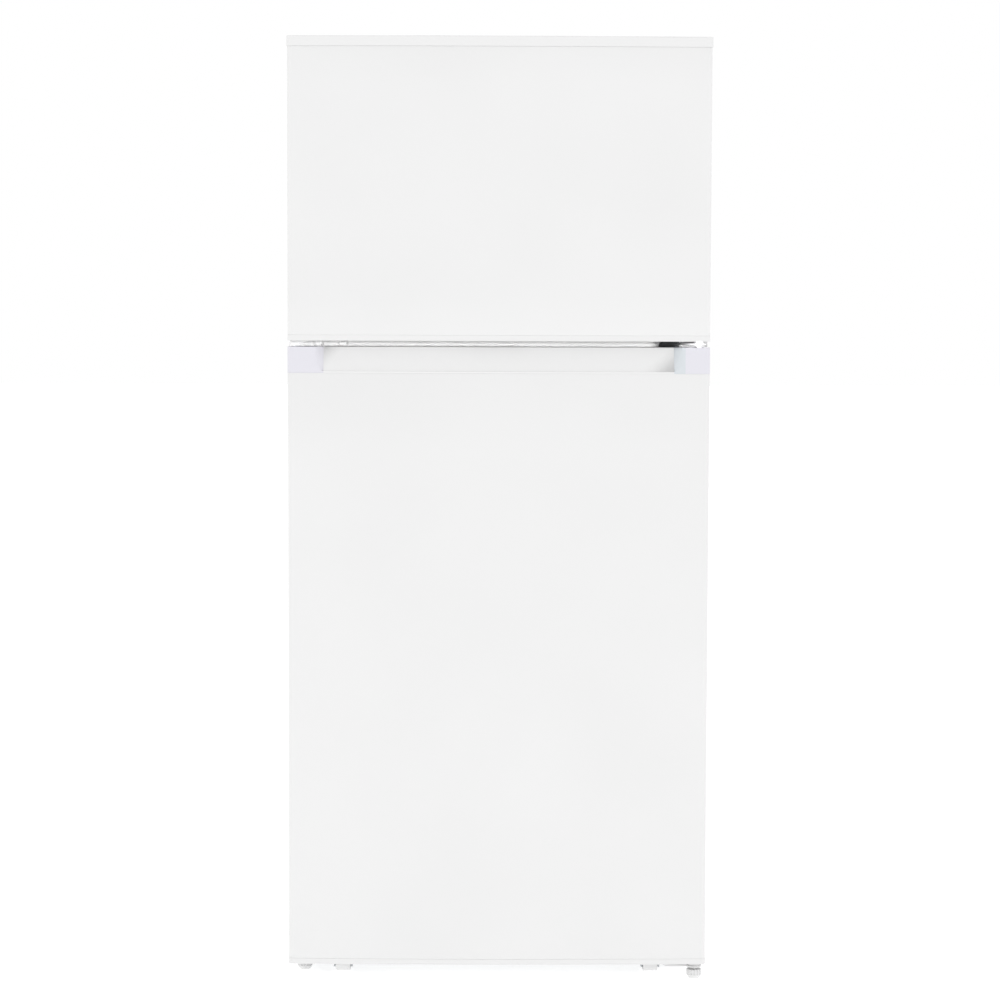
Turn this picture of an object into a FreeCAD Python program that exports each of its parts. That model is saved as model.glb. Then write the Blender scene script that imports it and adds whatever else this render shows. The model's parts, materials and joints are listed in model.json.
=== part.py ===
import FreeCAD, Part
import math
import os

# Top freezer refrigerator, in millimetres.
# Frame: +Z up, the doors face -Y, the origin is on the floor under the middle of the body.

# ---------------------------------------------------------------- overall sizes
WIDTH = 750.0                 # over the freezer door's top cap, the widest piece
HEIGHT = 1682.0               # floor to the top of the freezer door
DEPTH = 770.0                 # crest of the doors to the back panel

# ---------------------------------------------------------------- doors
DOOR_THICK = 62.0             # edge of the front to the back of the door
DOOR_CROWN = 9.0              # how far the middle of the front stands out
DOOR_EDGE_R = 8.0             # radius of the two upright front edges
DOOR_SEAL_GAP = 12.0          # back of the door to the face of the cabinet
DOOR_GAP = 11.0               # between the two doors
FREEZER_DOOR_H = 534.0
DOOR_FLOOR_GAP = 32.0         # under the lower door
SKIN = 0.8                    # painted sheet steel
SKIN_RETURN = 14.0            # flange that the sheet turns round the back
LINER = 2.0                   # vacuum formed plastic
CAP_PROUD = 1.2               # how far the freezer's top cap stands out from the sheet
FREEZER_TOP_CAP_H = 18.0
BOTTOM_CAP_H = 10.0
BAND_H = 46.0                 # top cap of the lower door, which is its handle
SCOOP_HALF = 310.0            # half the length of the scoop in the band
SCOOP_RAMP = 20.0             # length of the slope at each end of the scoop
SCOOP_DEPTH = 15.0            # how far the top of the scoop lies behind the face
TROUGH_HALF = 250.0           # finger trough behind the lip of the band
TROUGH_W = 17.0
TROUGH_D = 26.0
PULL_HALF = 62.0              # finger pull under the freezer door
PULL_W = 26.0
PULL_D = 7.0
DYKE_W = 26.0                 # raised rim round the inside of a door
DYKE_REACH = 30.0             # how far the rim stands out from the door's back
DYKE_CLEAR = 12.0             # rim to the wall of the opening
POCKET_D = 8.0                # depth of the panel inside the rim, into the door

# ---------------------------------------------------------------- seals
GASKET_W = 18.0
GASKET_MARGIN = 2.0           # gasket to the edge of the opening
GASKET_GAP = 0.3              # gasket to the steel face
GASKET_EDGE = 4.0             # gasket to the door's edge at the gap between the doors

# ---------------------------------------------------------------- cabinet
CABINET_INSET = 1.0           # side panel to the widest piece
CABINET_DROP = 10.0           # top of the cabinet under the top of the door
CABINET_BOTTOM = 40.0
SHEET = 1.0                   # painted side and top panels
RETURN_W = 26.0               # front flange of the side and top panels
FREEZER_HALF = 312.0          # half the width of the freezer space
FRIDGE_HALF = 320.0
TOP_WALL = 58.0               # foam walls
BACK_WALL = 60.0
FLOOR_WALL = 55.0
EVAPORATOR_SPACE = 48.0       # between the freezer's cover and its back wall
BAY_DEPTH = 234.0             # machine bay, measured from the back
BAY_TOP = 262.0
BAY_WALL = 55.0               # foam between the bay and the food space
CORNER_R = 14.0               # inside corners of the liners
DECK_T = 2.0                  # steel deck of the machine bay

# ---------------------------------------------------------------- hinges
PIVOT_SIDE = 19.0             # pivot to the side of the door
PIVOT_BACK = 26.0             # pivot to the back of the door
PIN_R = 4.0
FOOT_PIN_R = 6.5              # hollow pin of the bottom hinge
PIN_CLEAR = 0.3
HINGE_T = 3.0
ARM_HALF = 10.0               # half the width of a hinge arm at the pin
PIN_DEPTH = 9.0               # length of each pin inside its door cap

# ---------------------------------------------------------------- feet and rollers
FOOT_R = 13.5
FOOT_H = 16.0
STUD_R = 4.0
STUD_CLEAR = 0.3
STUD_UNDER_DOOR = 0.5         # top of the right foot's stud under the lower door
FOOT_SIDE = 25.0              # left foot to the side of the widest piece
FOOT_INSET = 30.0             # left foot behind the face of the cabinet
ROLLER_R = 18.0
ROLLER_W = 26.0
ROLLER_SIDE = 96.0            # front roller to the side of the widest piece
ROLLER_INSET = 10.0           # front roller behind the face of the cabinet
REAR_ROLLER_SIDE = 57.0
REAR_ROLLER_INSET = 55.0      # rear roller in front of the back panel
ROLLER_LIFT = 1.0             # the front rollers clear the floor when the feet carry
AXLE_R = 4.0
AXLE_CLEAR = 0.3
SIDE_CLEAR = 1.0              # roller to each cheek of its bracket
CHEEK_T = 3.0

# ---------------------------------------------------------------- shelves, bins and drawers
SHELF_INSET = 152.0           # front of a shelf behind the face of the cabinet
TOP_SHELF_DROP = 313.0        # top shelf under the top of the fridge space
GLASS_T = 4.0
FRAME_T = 12.0
FRAME_W = 20.0
SIDE_GAP = 2.0                # loose fit of a shelf between the walls
CRISPER_H = 200.0
CRISPER_INSET = 112.0         # front of a drawer behind the face of the cabinet
CRISPER_WALL = 3.0
CRISPER_GAP = 5.0
FREEZER_SHELF_RISE = 213.0    # wire shelf over the floor of the freezer space
BIN_WALL = 3.0
FRIDGE_BIN_DEPTH = 136.0
FREEZER_BIN_DEPTH = 112.0
FRIDGE_BIN_RISE = 250.0       # lowest bin over the floor of the fridge space
FRIDGE_BIN_DROP = 245.0       # highest bin's floor under the top of the fridge space
FRIDGE_BIN_H = (118.0, 92.0, 84.0)
FREEZER_BIN_RISE = 44.0
FREEZER_BIN_DROP = 196.0
FREEZER_BIN_H = (84.0, 80.0)

# ---------------------------------------------------------------- worked out from the above
HALF = WIDTH / 2
FRONT = -DEPTH / 2                        # crest of the doors
BACK = DEPTH / 2
DOOR_END_FRONT = FRONT + DOOR_CROWN       # door's front at its two sides
DOOR_BACK = DOOR_END_FRONT + DOOR_THICK
CAB_FRONT = DOOR_BACK + DOOR_SEAL_GAP
CAB_HALF = HALF - CABINET_INSET
CAB_TOP = HEIGHT - CABINET_DROP
FREEZER_DOOR = (HEIGHT - FREEZER_DOOR_H, HEIGHT)
FRIDGE_DOOR = (DOOR_FLOOR_GAP, FREEZER_DOOR[0] - DOOR_GAP)
OPEN_EDGE = GASKET_EDGE + GASKET_W + GASKET_MARGIN
FREEZER_Z = (FREEZER_DOOR[0] + OPEN_EDGE, CAB_TOP - TOP_WALL)
FRIDGE_Z = (CABINET_BOTTOM + FLOOR_WALL, FRIDGE_DOOR[1] - OPEN_EDGE)
FREEZER_BACK = BACK - BACK_WALL
FREEZER_COVER_Y = FREEZER_BACK - EVAPORATOR_SPACE
BAY_FRONT = BACK - BAY_DEPTH
STEP_Y = BAY_FRONT - BAY_WALL
STEP_Z = BAY_TOP + BAY_WALL
PIVOT_X = HALF - PIVOT_SIDE
PIVOT_Y = DOOR_BACK - PIVOT_BACK
GAP_MID = FREEZER_DOOR[0] - DOOR_GAP / 2
FOOT_X = FOOT_SIDE - HALF
FOOT_Y = CAB_FRONT + FOOT_INSET
ROLLER_X = HALF - ROLLER_SIDE
FRONT_ROLLER_Y = CAB_FRONT + ROLLER_INSET
REAR_ROLLER_X = HALF - REAR_ROLLER_SIDE
REAR_ROLLER_Y = BACK - REAR_ROLLER_INSET
SHELF_FRONT = CAB_FRONT + SHELF_INSET
CRISPER_FRONT = CAB_FRONT + CRISPER_INSET
CRISPER_TOP = FRIDGE_Z[0] + CRISPER_GAP + CRISPER_H
COVER_T = 14.0                            # moulded cover over the drawers
COVER_Z = CRISPER_TOP + 5.0 + COVER_T
TOP_SHELF_Z = FRIDGE_Z[1] - TOP_SHELF_DROP
SHELF_Z = ((COVER_Z + TOP_SHELF_Z) / 2, TOP_SHELF_Z)
FREEZER_SHELF_Z = FREEZER_Z[0] + FREEZER_SHELF_RISE
LOW_BIN_Z = FRIDGE_Z[0] + FRIDGE_BIN_RISE
HIGH_BIN_Z = FRIDGE_Z[1] - FRIDGE_BIN_DROP
FRIDGE_BINS = (("fridge_bin_bottom", LOW_BIN_Z, FRIDGE_BIN_H[0]),
               ("fridge_bin_middle", (LOW_BIN_Z + HIGH_BIN_Z) / 2, FRIDGE_BIN_H[1]),
               ("fridge_bin_top", HIGH_BIN_Z, FRIDGE_BIN_H[2]))
FREEZER_BINS = (("freezer_bin_lower", FREEZER_Z[0] + FREEZER_BIN_RISE, FREEZER_BIN_H[0]),
                ("freezer_bin_upper", FREEZER_Z[1] - FREEZER_BIN_DROP, FREEZER_BIN_H[1]))
FAR = 2000.0                              # past every piece, for cuts that go right through


# ================================================================ helpers
def vec(x, y, z):
    return FreeCAD.Vector(x, y, z)


def box(x0, x1, y0, y1, z0, z1):
    return Part.makeBox(x1 - x0, y1 - y0, z1 - z0, vec(x0, y0, z0))


def cyl(radius, length, x, y, z, axis=(0, 0, 1)):
    return Part.makeCylinder(radius, length, vec(x, y, z), vec(*axis))


def tube(outer, inner, length, x, y, z, axis=(0, 0, 1)):
    return cyl(outer, length, x, y, z, axis).cut(cyl(inner, length, x, y, z, axis))


def plate_xy(points, z0, z1):
    """A flat outline in plan, given a thickness upwards."""
    wire = Part.makePolygon([vec(x, y, z0) for x, y in points + points[:1]])
    return Part.Face(wire).extrude(vec(0, 0, z1 - z0))


def profile_yz(points, x0, x1):
    """An outline seen from the side, drawn across the width."""
    wire = Part.makePolygon([vec(x0, y, z) for y, z in points + points[:1]])
    return Part.Face(wire).extrude(vec(x1 - x0, 0, 0))


def profile_xz(points, y0, y1):
    """An outline seen from the front, drawn from front to back."""
    wire = Part.makePolygon([vec(x, y0, z) for x, z in points + points[:1]])
    return Part.Face(wire).extrude(vec(0, y1 - y0, 0))


def direction(edge):
    """The unit direction of a straight edge, or None for a curve."""
    if edge.Curve.TypeId != "Part::GeomLine":
        return None
    return (edge.Vertexes[1].Point - edge.Vertexes[0].Point).normalize()


def round_edges(shape, radius, axis, wanted=None):
    """Fillet the straight edges that run along an axis, where wanted(middle) is true."""
    line = vec(*axis)
    chosen = []
    for edge in shape.Edges:
        run = direction(edge)
        if run is None or abs(run.dot(line)) < 0.999:
            continue
        middle = (edge.Vertexes[0].Point + edge.Vertexes[1].Point) * 0.5
        if wanted is None or wanted(middle):
            chosen.append(edge)
    return shape.makeFillet(radius, chosen)


def rounded_box(x0, x1, y0, y1, z0, z1, radius, axis):
    return round_edges(box(x0, x1, y0, y1, z0, z1), radius, axis)


def fused(pieces):
    return pieces[0].multiFuse(pieces[1:]).removeSplitter()


def holes(shape, cutters):
    for cutter in cutters:
        shape = shape.cut(cutter)
    return shape


def mirrored(shape):
    """The same piece on the other side of the middle."""
    return shape.mirror(vec(0, 0, 0), vec(1, 0, 0))


def frame_xz(x_in, z_in, width, y0, y1):
    """A picture frame round the opening x_in by z_in, that faces the front."""
    outer = box(x_in[0] - width, x_in[1] + width, y0, y1, z_in[0] - width, z_in[1] + width)
    return outer.cut(box(x_in[0], x_in[1], y0, y1, z_in[0], z_in[1]))


def save(name, *solids):
    """Write one node; a node of several pieces keeps them as separate solids."""
    shape = solids[0] if len(solids) == 1 else Part.makeCompound(list(solids))
    shape.exportStep(os.path.join("parts", name + ".step"))
    print(name, len(shape.Solids), round(shape.Volume / 1000.0, 1), "cm3")


# ================================================================ cabinet
def space(half, z, back, radius=CORNER_R, grow=0.0):
    """A food space, open at the front, grown by the thickness of its liner."""
    room = box(-half - grow, half + grow, CAB_FRONT, back + grow, z[0] - grow, z[1] + grow)
    return round_edges(room, radius + grow, (0, 1, 0))


def freezer_space(grow=0.0):
    return space(FREEZER_HALF, FREEZER_Z, FREEZER_BACK, grow=grow)


def fridge_space(grow=0.0):
    """The lower space has a step at its back, over the machine bay."""
    room = space(FRIDGE_HALF, FRIDGE_Z, FREEZER_BACK, grow=grow)
    step = box(-CAB_HALF, CAB_HALF, STEP_Y + grow, BACK, CABINET_BOTTOM, STEP_Z - grow)
    return room.cut(step)


def machine_bay(grow=0.0):
    return box(-CAB_HALF + SHEET, CAB_HALF - SHEET, BAY_FRONT - grow, BACK,
               CABINET_BOTTOM - SHEET, BAY_TOP + grow)


def cabinet_wrap():
    """One folded sheet: two sides, the top and a flange round the front."""
    outer = box(-CAB_HALF, CAB_HALF, CAB_FRONT, BACK - SHEET, CABINET_BOTTOM, CAB_TOP)
    inner = box(-CAB_HALF + SHEET, CAB_HALF - SHEET, CAB_FRONT + SHEET, BACK,
                CABINET_BOTTOM - SHEET, CAB_TOP - SHEET)
    mouth = box(-CAB_HALF + RETURN_W, CAB_HALF - RETURN_W, CAB_FRONT - SHEET, CAB_FRONT + 2 * SHEET,
                CABINET_BOTTOM - SHEET, CAB_TOP - RETURN_W)
    return outer.cut(inner).cut(mouth)


def rear_panel():
    return box(-CAB_HALF, CAB_HALF, BACK - SHEET, BACK, BAY_TOP, CAB_TOP)


def liner(room, thicker, z0, z1):
    """Sheet round a food space, with a flat flange at the front."""
    lip = box(-CAB_HALF + RETURN_W, CAB_HALF - RETURN_W, CAB_FRONT, CAB_FRONT + LINER, z0, z1)
    return thicker.fuse(lip).cut(room)


MULLION_HALF_H = 17.0
MULLION_REACH = 24.0


def mullion_rail():
    """Steel channel across the front, between the two food spaces."""
    z0, z1 = GAP_MID - MULLION_HALF_H, GAP_MID + MULLION_HALF_H
    side = CAB_HALF - RETURN_W
    outer = box(-side, side, CAB_FRONT, CAB_FRONT + MULLION_REACH, z0, z1)
    inner = box(-FAR, FAR, CAB_FRONT + 1.2, CAB_FRONT + MULLION_REACH + 1, z0 + 1.2, z1 - 1.2)
    return outer.cut(inner)


def freezer_liner():
    room = freezer_space()
    body = liner(room, freezer_space(LINER), GAP_MID + MULLION_HALF_H, CAB_TOP - RETURN_W)
    return holes(body, [duct_hole()])


def fridge_liner():
    room = fridge_space()
    body = liner(room, fridge_space(LINER), CABINET_BOTTOM, GAP_MID - MULLION_HALF_H)
    return holes(body, [duct_hole()])


DUCT_X = 0.0
DUCT_HALF = 45.0
DUCT_Y = (FREEZER_COVER_Y + 8.0, FREEZER_COVER_Y + 34.0)


def duct_hole():
    """Cold air falls through the mullion from the evaporator to the fridge."""
    return box(DUCT_X - DUCT_HALF, DUCT_X + DUCT_HALF, DUCT_Y[0], DUCT_Y[1],
               FRIDGE_Z[1] - 30.0, FREEZER_Z[0] + 30.0)


def cabinet_insulation():
    block = box(-CAB_HALF + SHEET, CAB_HALF - SHEET, CAB_FRONT + SHEET, BACK - SHEET,
                CABINET_BOTTOM, CAB_TOP - SHEET)
    rail = box(-FAR, FAR, CAB_FRONT, CAB_FRONT + MULLION_REACH,
               GAP_MID - MULLION_HALF_H, GAP_MID + MULLION_HALF_H)
    lip = box(-CAB_HALF + RETURN_W, CAB_HALF - RETURN_W, CAB_FRONT, CAB_FRONT + LINER,
              CABINET_BOTTOM, CAB_TOP - RETURN_W)
    return holes(block, [freezer_space(LINER), fridge_space(LINER), machine_bay(SHEET), rail, lip,
                         duct_hole()])


def air_duct():
    """Plastic sleeve round the air passage, with its outlet grille in the fridge ceiling."""
    wall = 2.0
    hole = box(DUCT_X - DUCT_HALF, DUCT_X + DUCT_HALF, DUCT_Y[0], DUCT_Y[1],
               FRIDGE_Z[1] - 3.0, FREEZER_Z[0])
    inside = box(DUCT_X - DUCT_HALF + wall, DUCT_X + DUCT_HALF - wall, DUCT_Y[0] + wall,
                 DUCT_Y[1] - wall, FRIDGE_Z[1] - FAR, FREEZER_Z[0] + FAR)
    flange = box(DUCT_X - DUCT_HALF - 10, DUCT_X + DUCT_HALF + 10, DUCT_Y[0] - 6, DUCT_Y[1] + 6,
                 FRIDGE_Z[1] - 3.0, FRIDGE_Z[1])
    sleeve = hole.fuse(flange).cut(inside)
    bars = 6
    pitch = 2 * (DUCT_HALF - wall) / (bars + 1)
    pieces = [sleeve]
    for number in range(bars):
        x = DUCT_X - DUCT_HALF + wall + pitch * (number + 1)
        pieces.append(box(x - 1, x + 1, DUCT_Y[0], DUCT_Y[1], FRIDGE_Z[1] - 3.0, FRIDGE_Z[1]))
    return fused(pieces)


def bay_tray():
    """Sheet steel ceiling and front wall of the machine bay."""
    side = CAB_HALF - SHEET
    top = box(-side, side, BAY_FRONT - SHEET, BACK - SHEET, BAY_TOP, BAY_TOP + SHEET)
    wall = box(-side, side, BAY_FRONT - SHEET, BAY_FRONT, CABINET_BOTTOM, BAY_TOP + SHEET)
    return top.fuse(wall).removeSplitter()




def base_deck():
    """Deck under the compressor, and the two runners that it hangs from."""
    side = CAB_HALF - SHEET
    z1 = CABINET_BOTTOM
    deck = box(-side, side, BAY_FRONT - 20.0, BACK - 8.0, z1 - DECK_T, z1)
    lip = box(-side, side, BACK - 8.0 - DECK_T, BACK - 8.0, z1 - DECK_T, z1 + 12.0)
    belly = box(-side, side, CAB_FRONT + SHEET, BAY_FRONT - 20.0, z1 - SHEET, z1)
    pieces = [deck, lip, belly]
    return fused(pieces)


PLUG_X = -322.0
PLUG_R = 7.0


def hole_plugs():
    """Caps over the spare hinge holes on the left, used when the doors are reversed."""
    plugs = []
    for x in (PLUG_X, PLUG_X + 44.0):
        stem = cyl(PLUG_R - 2.0, 3.0, x, CAB_FRONT, GAP_MID, (0, -1, 0))
        head = Part.makeSphere(PLUG_R * 1.6, vec(x, CAB_FRONT + 6.2, GAP_MID))
        head = head.common(box(x - 20, x + 20, CAB_FRONT - 9.0, CAB_FRONT - 1.0, GAP_MID - 20, GAP_MID + 20))
        plugs.append(stem.fuse(head).removeSplitter())
    return plugs


# ================================================================ hinges
TOP_PLATE_Z = CAB_TOP
CENTRE_PLATE_Z = GAP_MID - HINGE_T / 2
BOTTOM_PLATE_Z = 17.0 + 3.0
SCREW_R = 3.0
SCREW_HEAD_R = 6.0
SCREW_HEAD_H = 2.4


def arm_outline(reach_back, width_back):
    """A hinge arm in plan: narrow at the pin, wide where it is screwed down."""
    y0 = PIVOT_Y
    outer = PIVOT_X + ARM_HALF
    return [(PIVOT_X - ARM_HALF, y0), (outer, y0), (outer, reach_back),
            (outer - width_back, reach_back), (outer - width_back, CAB_FRONT + 6.0),
            (PIVOT_X - ARM_HALF, CAB_FRONT - 8.0)]


def arm_plate(z0, thick, reach_back, width_back):
    nose = cyl(ARM_HALF, thick, PIVOT_X, PIVOT_Y, z0)
    return plate_xy(arm_outline(reach_back, width_back), z0, z0 + thick).fuse(nose).removeSplitter()


TOP_HINGE_BACK = CAB_FRONT + 62.0
TOP_HINGE_W = 46.0


def top_screw_places():
    x0 = PIVOT_X + ARM_HALF - TOP_HINGE_W
    return [(x0 + 10.0, CAB_FRONT + 20.0), (x0 + 10.0, CAB_FRONT + 48.0), (x0 + 36.0, CAB_FRONT + 34.0)]


def top_hinge():
    plate = arm_plate(TOP_PLATE_Z, HINGE_T, TOP_HINGE_BACK, TOP_HINGE_W)
    pin = cyl(PIN_R, PIN_DEPTH + HINGE_T, PIVOT_X, PIVOT_Y, TOP_PLATE_Z - PIN_DEPTH)
    plate = plate.fuse(pin).removeSplitter()
    return holes(plate, [cyl(SCREW_R, 9.0, x, y, TOP_PLATE_Z - 1) for x, y in top_screw_places()])


def top_hinge_cover():
    """Low cover over the screws of the top hinge; it snaps down behind the door."""
    wall = 1.8
    x0 = PIVOT_X + ARM_HALF - TOP_HINGE_W - 6.0
    x1 = CAB_HALF - 1.0
    y0, y1 = CAB_FRONT + 2.0, TOP_HINGE_BACK + 8.0
    shell = box(x0, x1, y0, y1, CAB_TOP, CAB_TOP + 9.5)
    shell = round_edges(shell, 5.0, (0, 0, 1))
    top = [edge for edge in shell.Edges if abs(edge.BoundBox.ZMin - (CAB_TOP + 9.5)) < 0.01
           and abs(edge.BoundBox.ZMax - (CAB_TOP + 9.5)) < 0.01]
    shell = shell.makeFillet(2.0, top)
    inside = box(x0 + wall, x1 - wall, y0 + wall, y1 - wall, CAB_TOP - 1, CAB_TOP + 9.5 - wall)
    slot = box(PIVOT_X - ARM_HALF - 25.0, PIVOT_X + ARM_HALF + 0.3, y0 - 1, y0 + wall + 1,
               CAB_TOP - 1, CAB_TOP + HINGE_T + 0.3)
    return shell.cut(inside).cut(slot)


LEG_X = (PIVOT_X - 72.0, PIVOT_X + ARM_HALF)
LEG_HALF_H = DOOR_GAP / 2 + GASKET_EDGE - 0.5
LEG_T = 2.5
FLANGE_X = PIVOT_X - 34.0     # left end of the bracket's flat flange


def centre_screw_places():
    return [LEG_X[0] + 9.0, LEG_X[0] + 26.0]


def centre_hinge():
    """Bracket on the mullion; its two pins carry the upper door and guide the lower one."""
    flange = plate_xy([(PIVOT_X - ARM_HALF, PIVOT_Y), (PIVOT_X + ARM_HALF, PIVOT_Y),
                       (LEG_X[1], CAB_FRONT), (FLANGE_X, CAB_FRONT),
                       (FLANGE_X + 4.0, CAB_FRONT - 14.0)], CENTRE_PLATE_Z, CENTRE_PLATE_Z + HINGE_T)
    nose = cyl(ARM_HALF, HINGE_T, PIVOT_X, PIVOT_Y, CENTRE_PLATE_Z)
    leg = box(LEG_X[0], LEG_X[1], CAB_FRONT - LEG_T, CAB_FRONT, GAP_MID - LEG_HALF_H, GAP_MID + LEG_HALF_H)
    leg = round_edges(leg, 4.0, (0, 1, 0), lambda middle: middle.x < LEG_X[0] + 1)
    pin_z0 = FRIDGE_DOOR[1] - PIN_DEPTH
    pin = cyl(PIN_R, FREEZER_DOOR[0] + PIN_DEPTH - pin_z0, PIVOT_X, PIVOT_Y, pin_z0)
    washer = cyl(PIN_R + 4.0, GAP_MID + DOOR_GAP / 2 - 0.3 - CENTRE_PLATE_Z, PIVOT_X, PIVOT_Y, CENTRE_PLATE_Z)
    body = fused([flange, nose, leg, pin, washer])
    bores = [cyl(SCREW_R, LEG_T + 2, x, CAB_FRONT + 1, GAP_MID, (0, -1, 0)) for x in centre_screw_places()]
    return holes(body, bores)


def door_stop():
    """Moulded stop in front of the bracket's screws; its foot stands on the leg between them."""
    z_half = DOOR_GAP / 2 - 0.6
    x0, x1 = LEG_X[0] + 1.0, FLANGE_X - 0.4
    y1 = CAB_FRONT - LEG_T - SCREW_HEAD_H - 1.2
    block = profile_xz([(x0, GAP_MID - z_half), (x1, GAP_MID - z_half), (x1, GAP_MID + z_half),
                        (x0 + 5.0, GAP_MID + z_half)], y1 - 34.0, y1)
    first, second = centre_screw_places()
    foot_x = (first + second) / 2
    foot = box(foot_x - 1.8, foot_x + 1.8, y1, CAB_FRONT - LEG_T, GAP_MID - z_half, GAP_MID + z_half)
    return block.fuse(foot).removeSplitter()


BOTTOM_SCREW_Y = CAB_FRONT + 30.0
BOTTOM_SCREW_L = 15.0


def bottom_screw_places():
    return [PIVOT_X - 40.0, PIVOT_X - 12.0]


def bottom_hinge():
    """Bracket under the cabinet; a hollow pin carries the lower door and takes the foot's stud."""
    x0, x1 = PIVOT_X - 56.0, HALF - 6.0
    z0 = BOTTOM_PLATE_Z
    shelf = box(x0, x1, PIVOT_Y, CAB_FRONT + 40.0, z0, z0 + HINGE_T)
    shelf = round_edges(shelf, 12.0, (0, 0, 1), lambda middle: middle.y < PIVOT_Y + 1 and middle.x < PIVOT_X)
    nose = cyl(x1 - PIVOT_X, HINGE_T, PIVOT_X, PIVOT_Y, z0)
    post = box(x0 + 2.0, x1, CAB_FRONT + 20.0, CAB_FRONT + 40.0, z0, CABINET_BOTTOM - SHEET)
    pin = cyl(FOOT_PIN_R, FRIDGE_DOOR[0] + PIN_DEPTH + 4.0 - z0, PIVOT_X, PIVOT_Y, z0)
    ledge = cyl(FOOT_PIN_R + 4.0, FRIDGE_DOOR[0] - 0.3 - z0, PIVOT_X, PIVOT_Y, z0)
    body = fused([shelf, nose, post, pin, ledge])
    stud_hole = cyl(STUD_R + STUD_CLEAR, FAR, PIVOT_X, PIVOT_Y, z0 - 1)
    bores = [cyl(SCREW_R, BOTTOM_SCREW_L, x, BOTTOM_SCREW_Y, z0 - 1) for x in bottom_screw_places()]
    return holes(body, [stud_hole] + bores)


def screw(x, y, z, axis, depth):
    """Pan head screw: the head stands on the surface and the shank runs into it."""
    into = [-value for value in axis]
    head = cyl(SCREW_HEAD_R, SCREW_HEAD_H, x, y, z, axis)
    shank = cyl(SCREW_R - 0.2, depth, x, y, z, into)
    top = vec(x, y, z) + vec(*axis) * SCREW_HEAD_H
    cross = []
    for across in ((1, 0, 0), (0, 1, 0), (0, 0, 1)):
        if abs(vec(*across).dot(vec(*axis))) > 0.5:
            continue
        along = vec(*across)
        bar = Part.makeBox(7.0, 1.2, 1.2, vec(-3.5, -0.6, -0.6))
        turn = FreeCAD.Rotation(vec(1, 0, 0), along)
        bar.Placement = FreeCAD.Placement(top, turn)
        cross.append(bar)
    return holes(head.fuse(shank).removeSplitter(), cross)


def hinge_screws():
    screws = [screw(x, y, TOP_PLATE_Z + HINGE_T, (0, 0, 1), HINGE_T - 0.1) for x, y in top_screw_places()]
    for x in centre_screw_places():
        screws.append(screw(x, CAB_FRONT - LEG_T, GAP_MID, (0, -1, 0), LEG_T - 0.1))
    for x in bottom_screw_places():
        screws.append(screw(x, BOTTOM_SCREW_Y, BOTTOM_PLATE_Z, (0, 0, -1), BOTTOM_SCREW_L - 2.0))
    return screws


# ================================================================ doors
def door_block(z0, z1, inset=0.0, back=None):
    """The door's plan, a slightly bowed front with rounded edges, drawn up from z0 to z1."""
    half = HALF - inset
    end, crest = DOOR_END_FRONT + inset, FRONT + inset
    rear = DOOR_BACK if back is None else back
    front = Part.Arc(vec(-half, end, z0), vec(0, crest, z0), vec(half, end, z0)).toShape()
    sides = [Part.makeLine(vec(half, end, z0), vec(half, rear, z0)),
             Part.makeLine(vec(half, rear, z0), vec(-half, rear, z0)),
             Part.makeLine(vec(-half, rear, z0), vec(-half, end, z0))]
    solid = Part.Face(Part.Wire([front] + sides)).extrude(vec(0, 0, z1 - z0))
    return round_edges(solid, DOOR_EDGE_R - inset, (0, 0, 1), lambda middle: middle.y < rear - 1)


def door_skin(z0, z1):
    """Painted sheet: front, sides and a narrow return on the back, open at top and bottom."""
    outer = door_block(z0, z1, CAP_PROUD)
    inner = door_block(z0 - 1, z1 + 1, CAP_PROUD + SKIN, DOOR_BACK - SKIN)
    side = HALF - CAP_PROUD - SKIN_RETURN
    mouth = box(-side, side, DOOR_BACK - 2 * SKIN, DOOR_BACK + 1, z0 - 1, z1 + 1)
    return outer.cut(inner).cut(mouth)


def dyke(half, z, grow=0.0):
    """The raised rim inside a door, as a block that reaches into the opening."""
    block = box(-half - grow, half + grow, DOOR_BACK - LINER, DOOR_BACK + DYKE_REACH + grow,
                z[0] - grow, z[1] + grow)
    return round_edges(block, 8.0 + grow, (0, 1, 0))


def pocket(half, z, grow=0.0):
    """The shallow panel inside the rim, where the bins hang."""
    x = half - DYKE_W + grow
    block = box(-x, x, DOOR_BACK - POCKET_D - grow, DOOR_BACK + DYKE_REACH + 1,
                z[0] + DYKE_W - grow, z[1] - DYKE_W + grow)
    return round_edges(block, 6.0 + grow, (0, 1, 0))


def door_liner(half, z, z0, z1, bins):
    rim, room = dyke(half, z), pocket(half, z)
    side = HALF - CAP_PROUD - SKIN_RETURN
    sheet = box(-side, side, DOOR_BACK - LINER, DOOR_BACK, z0, z1)
    floor = pocket(half, z, LINER).common(box(-FAR, FAR, -FAR, DOOR_BACK, -FAR, FAR))
    outside = fused([sheet, rim, floor])
    hollow = dyke(half, z, -LINER).cut(pocket(half, z, LINER))
    return fused([outside.cut(room).cut(hollow)] + bin_lugs(half, bins))


def door_insulation(half, z, z0, z1, cuts):
    core = door_block(z0, z1, CAP_PROUD + SKIN, DOOR_BACK - LINER)
    filled = core.fuse(dyke(half, z, -LINER)).cut(pocket(half, z, LINER))
    return holes(filled, cuts)


def gasket(half, z):
    """Soft magnetic seal: a hollow frame with a groove round its inside."""
    x = (-half - GASKET_MARGIN, half + GASKET_MARGIN)
    zz = (z[0] - GASKET_MARGIN, z[1] + GASKET_MARGIN)
    y1 = CAB_FRONT - GASKET_GAP
    foot = frame_xz(x, zz, GASKET_W - 4.0, DOOR_BACK, DOOR_BACK + 3.0)
    neck = frame_xz((x[0] - 3, x[1] + 3), (zz[0] - 3, zz[1] + 3), GASKET_W - 9.0, DOOR_BACK + 3.0, y1 - 4.0)
    bulb = frame_xz(x, zz, GASKET_W, y1 - 4.0, y1)
    return fused([foot, neck, bulb])


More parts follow.
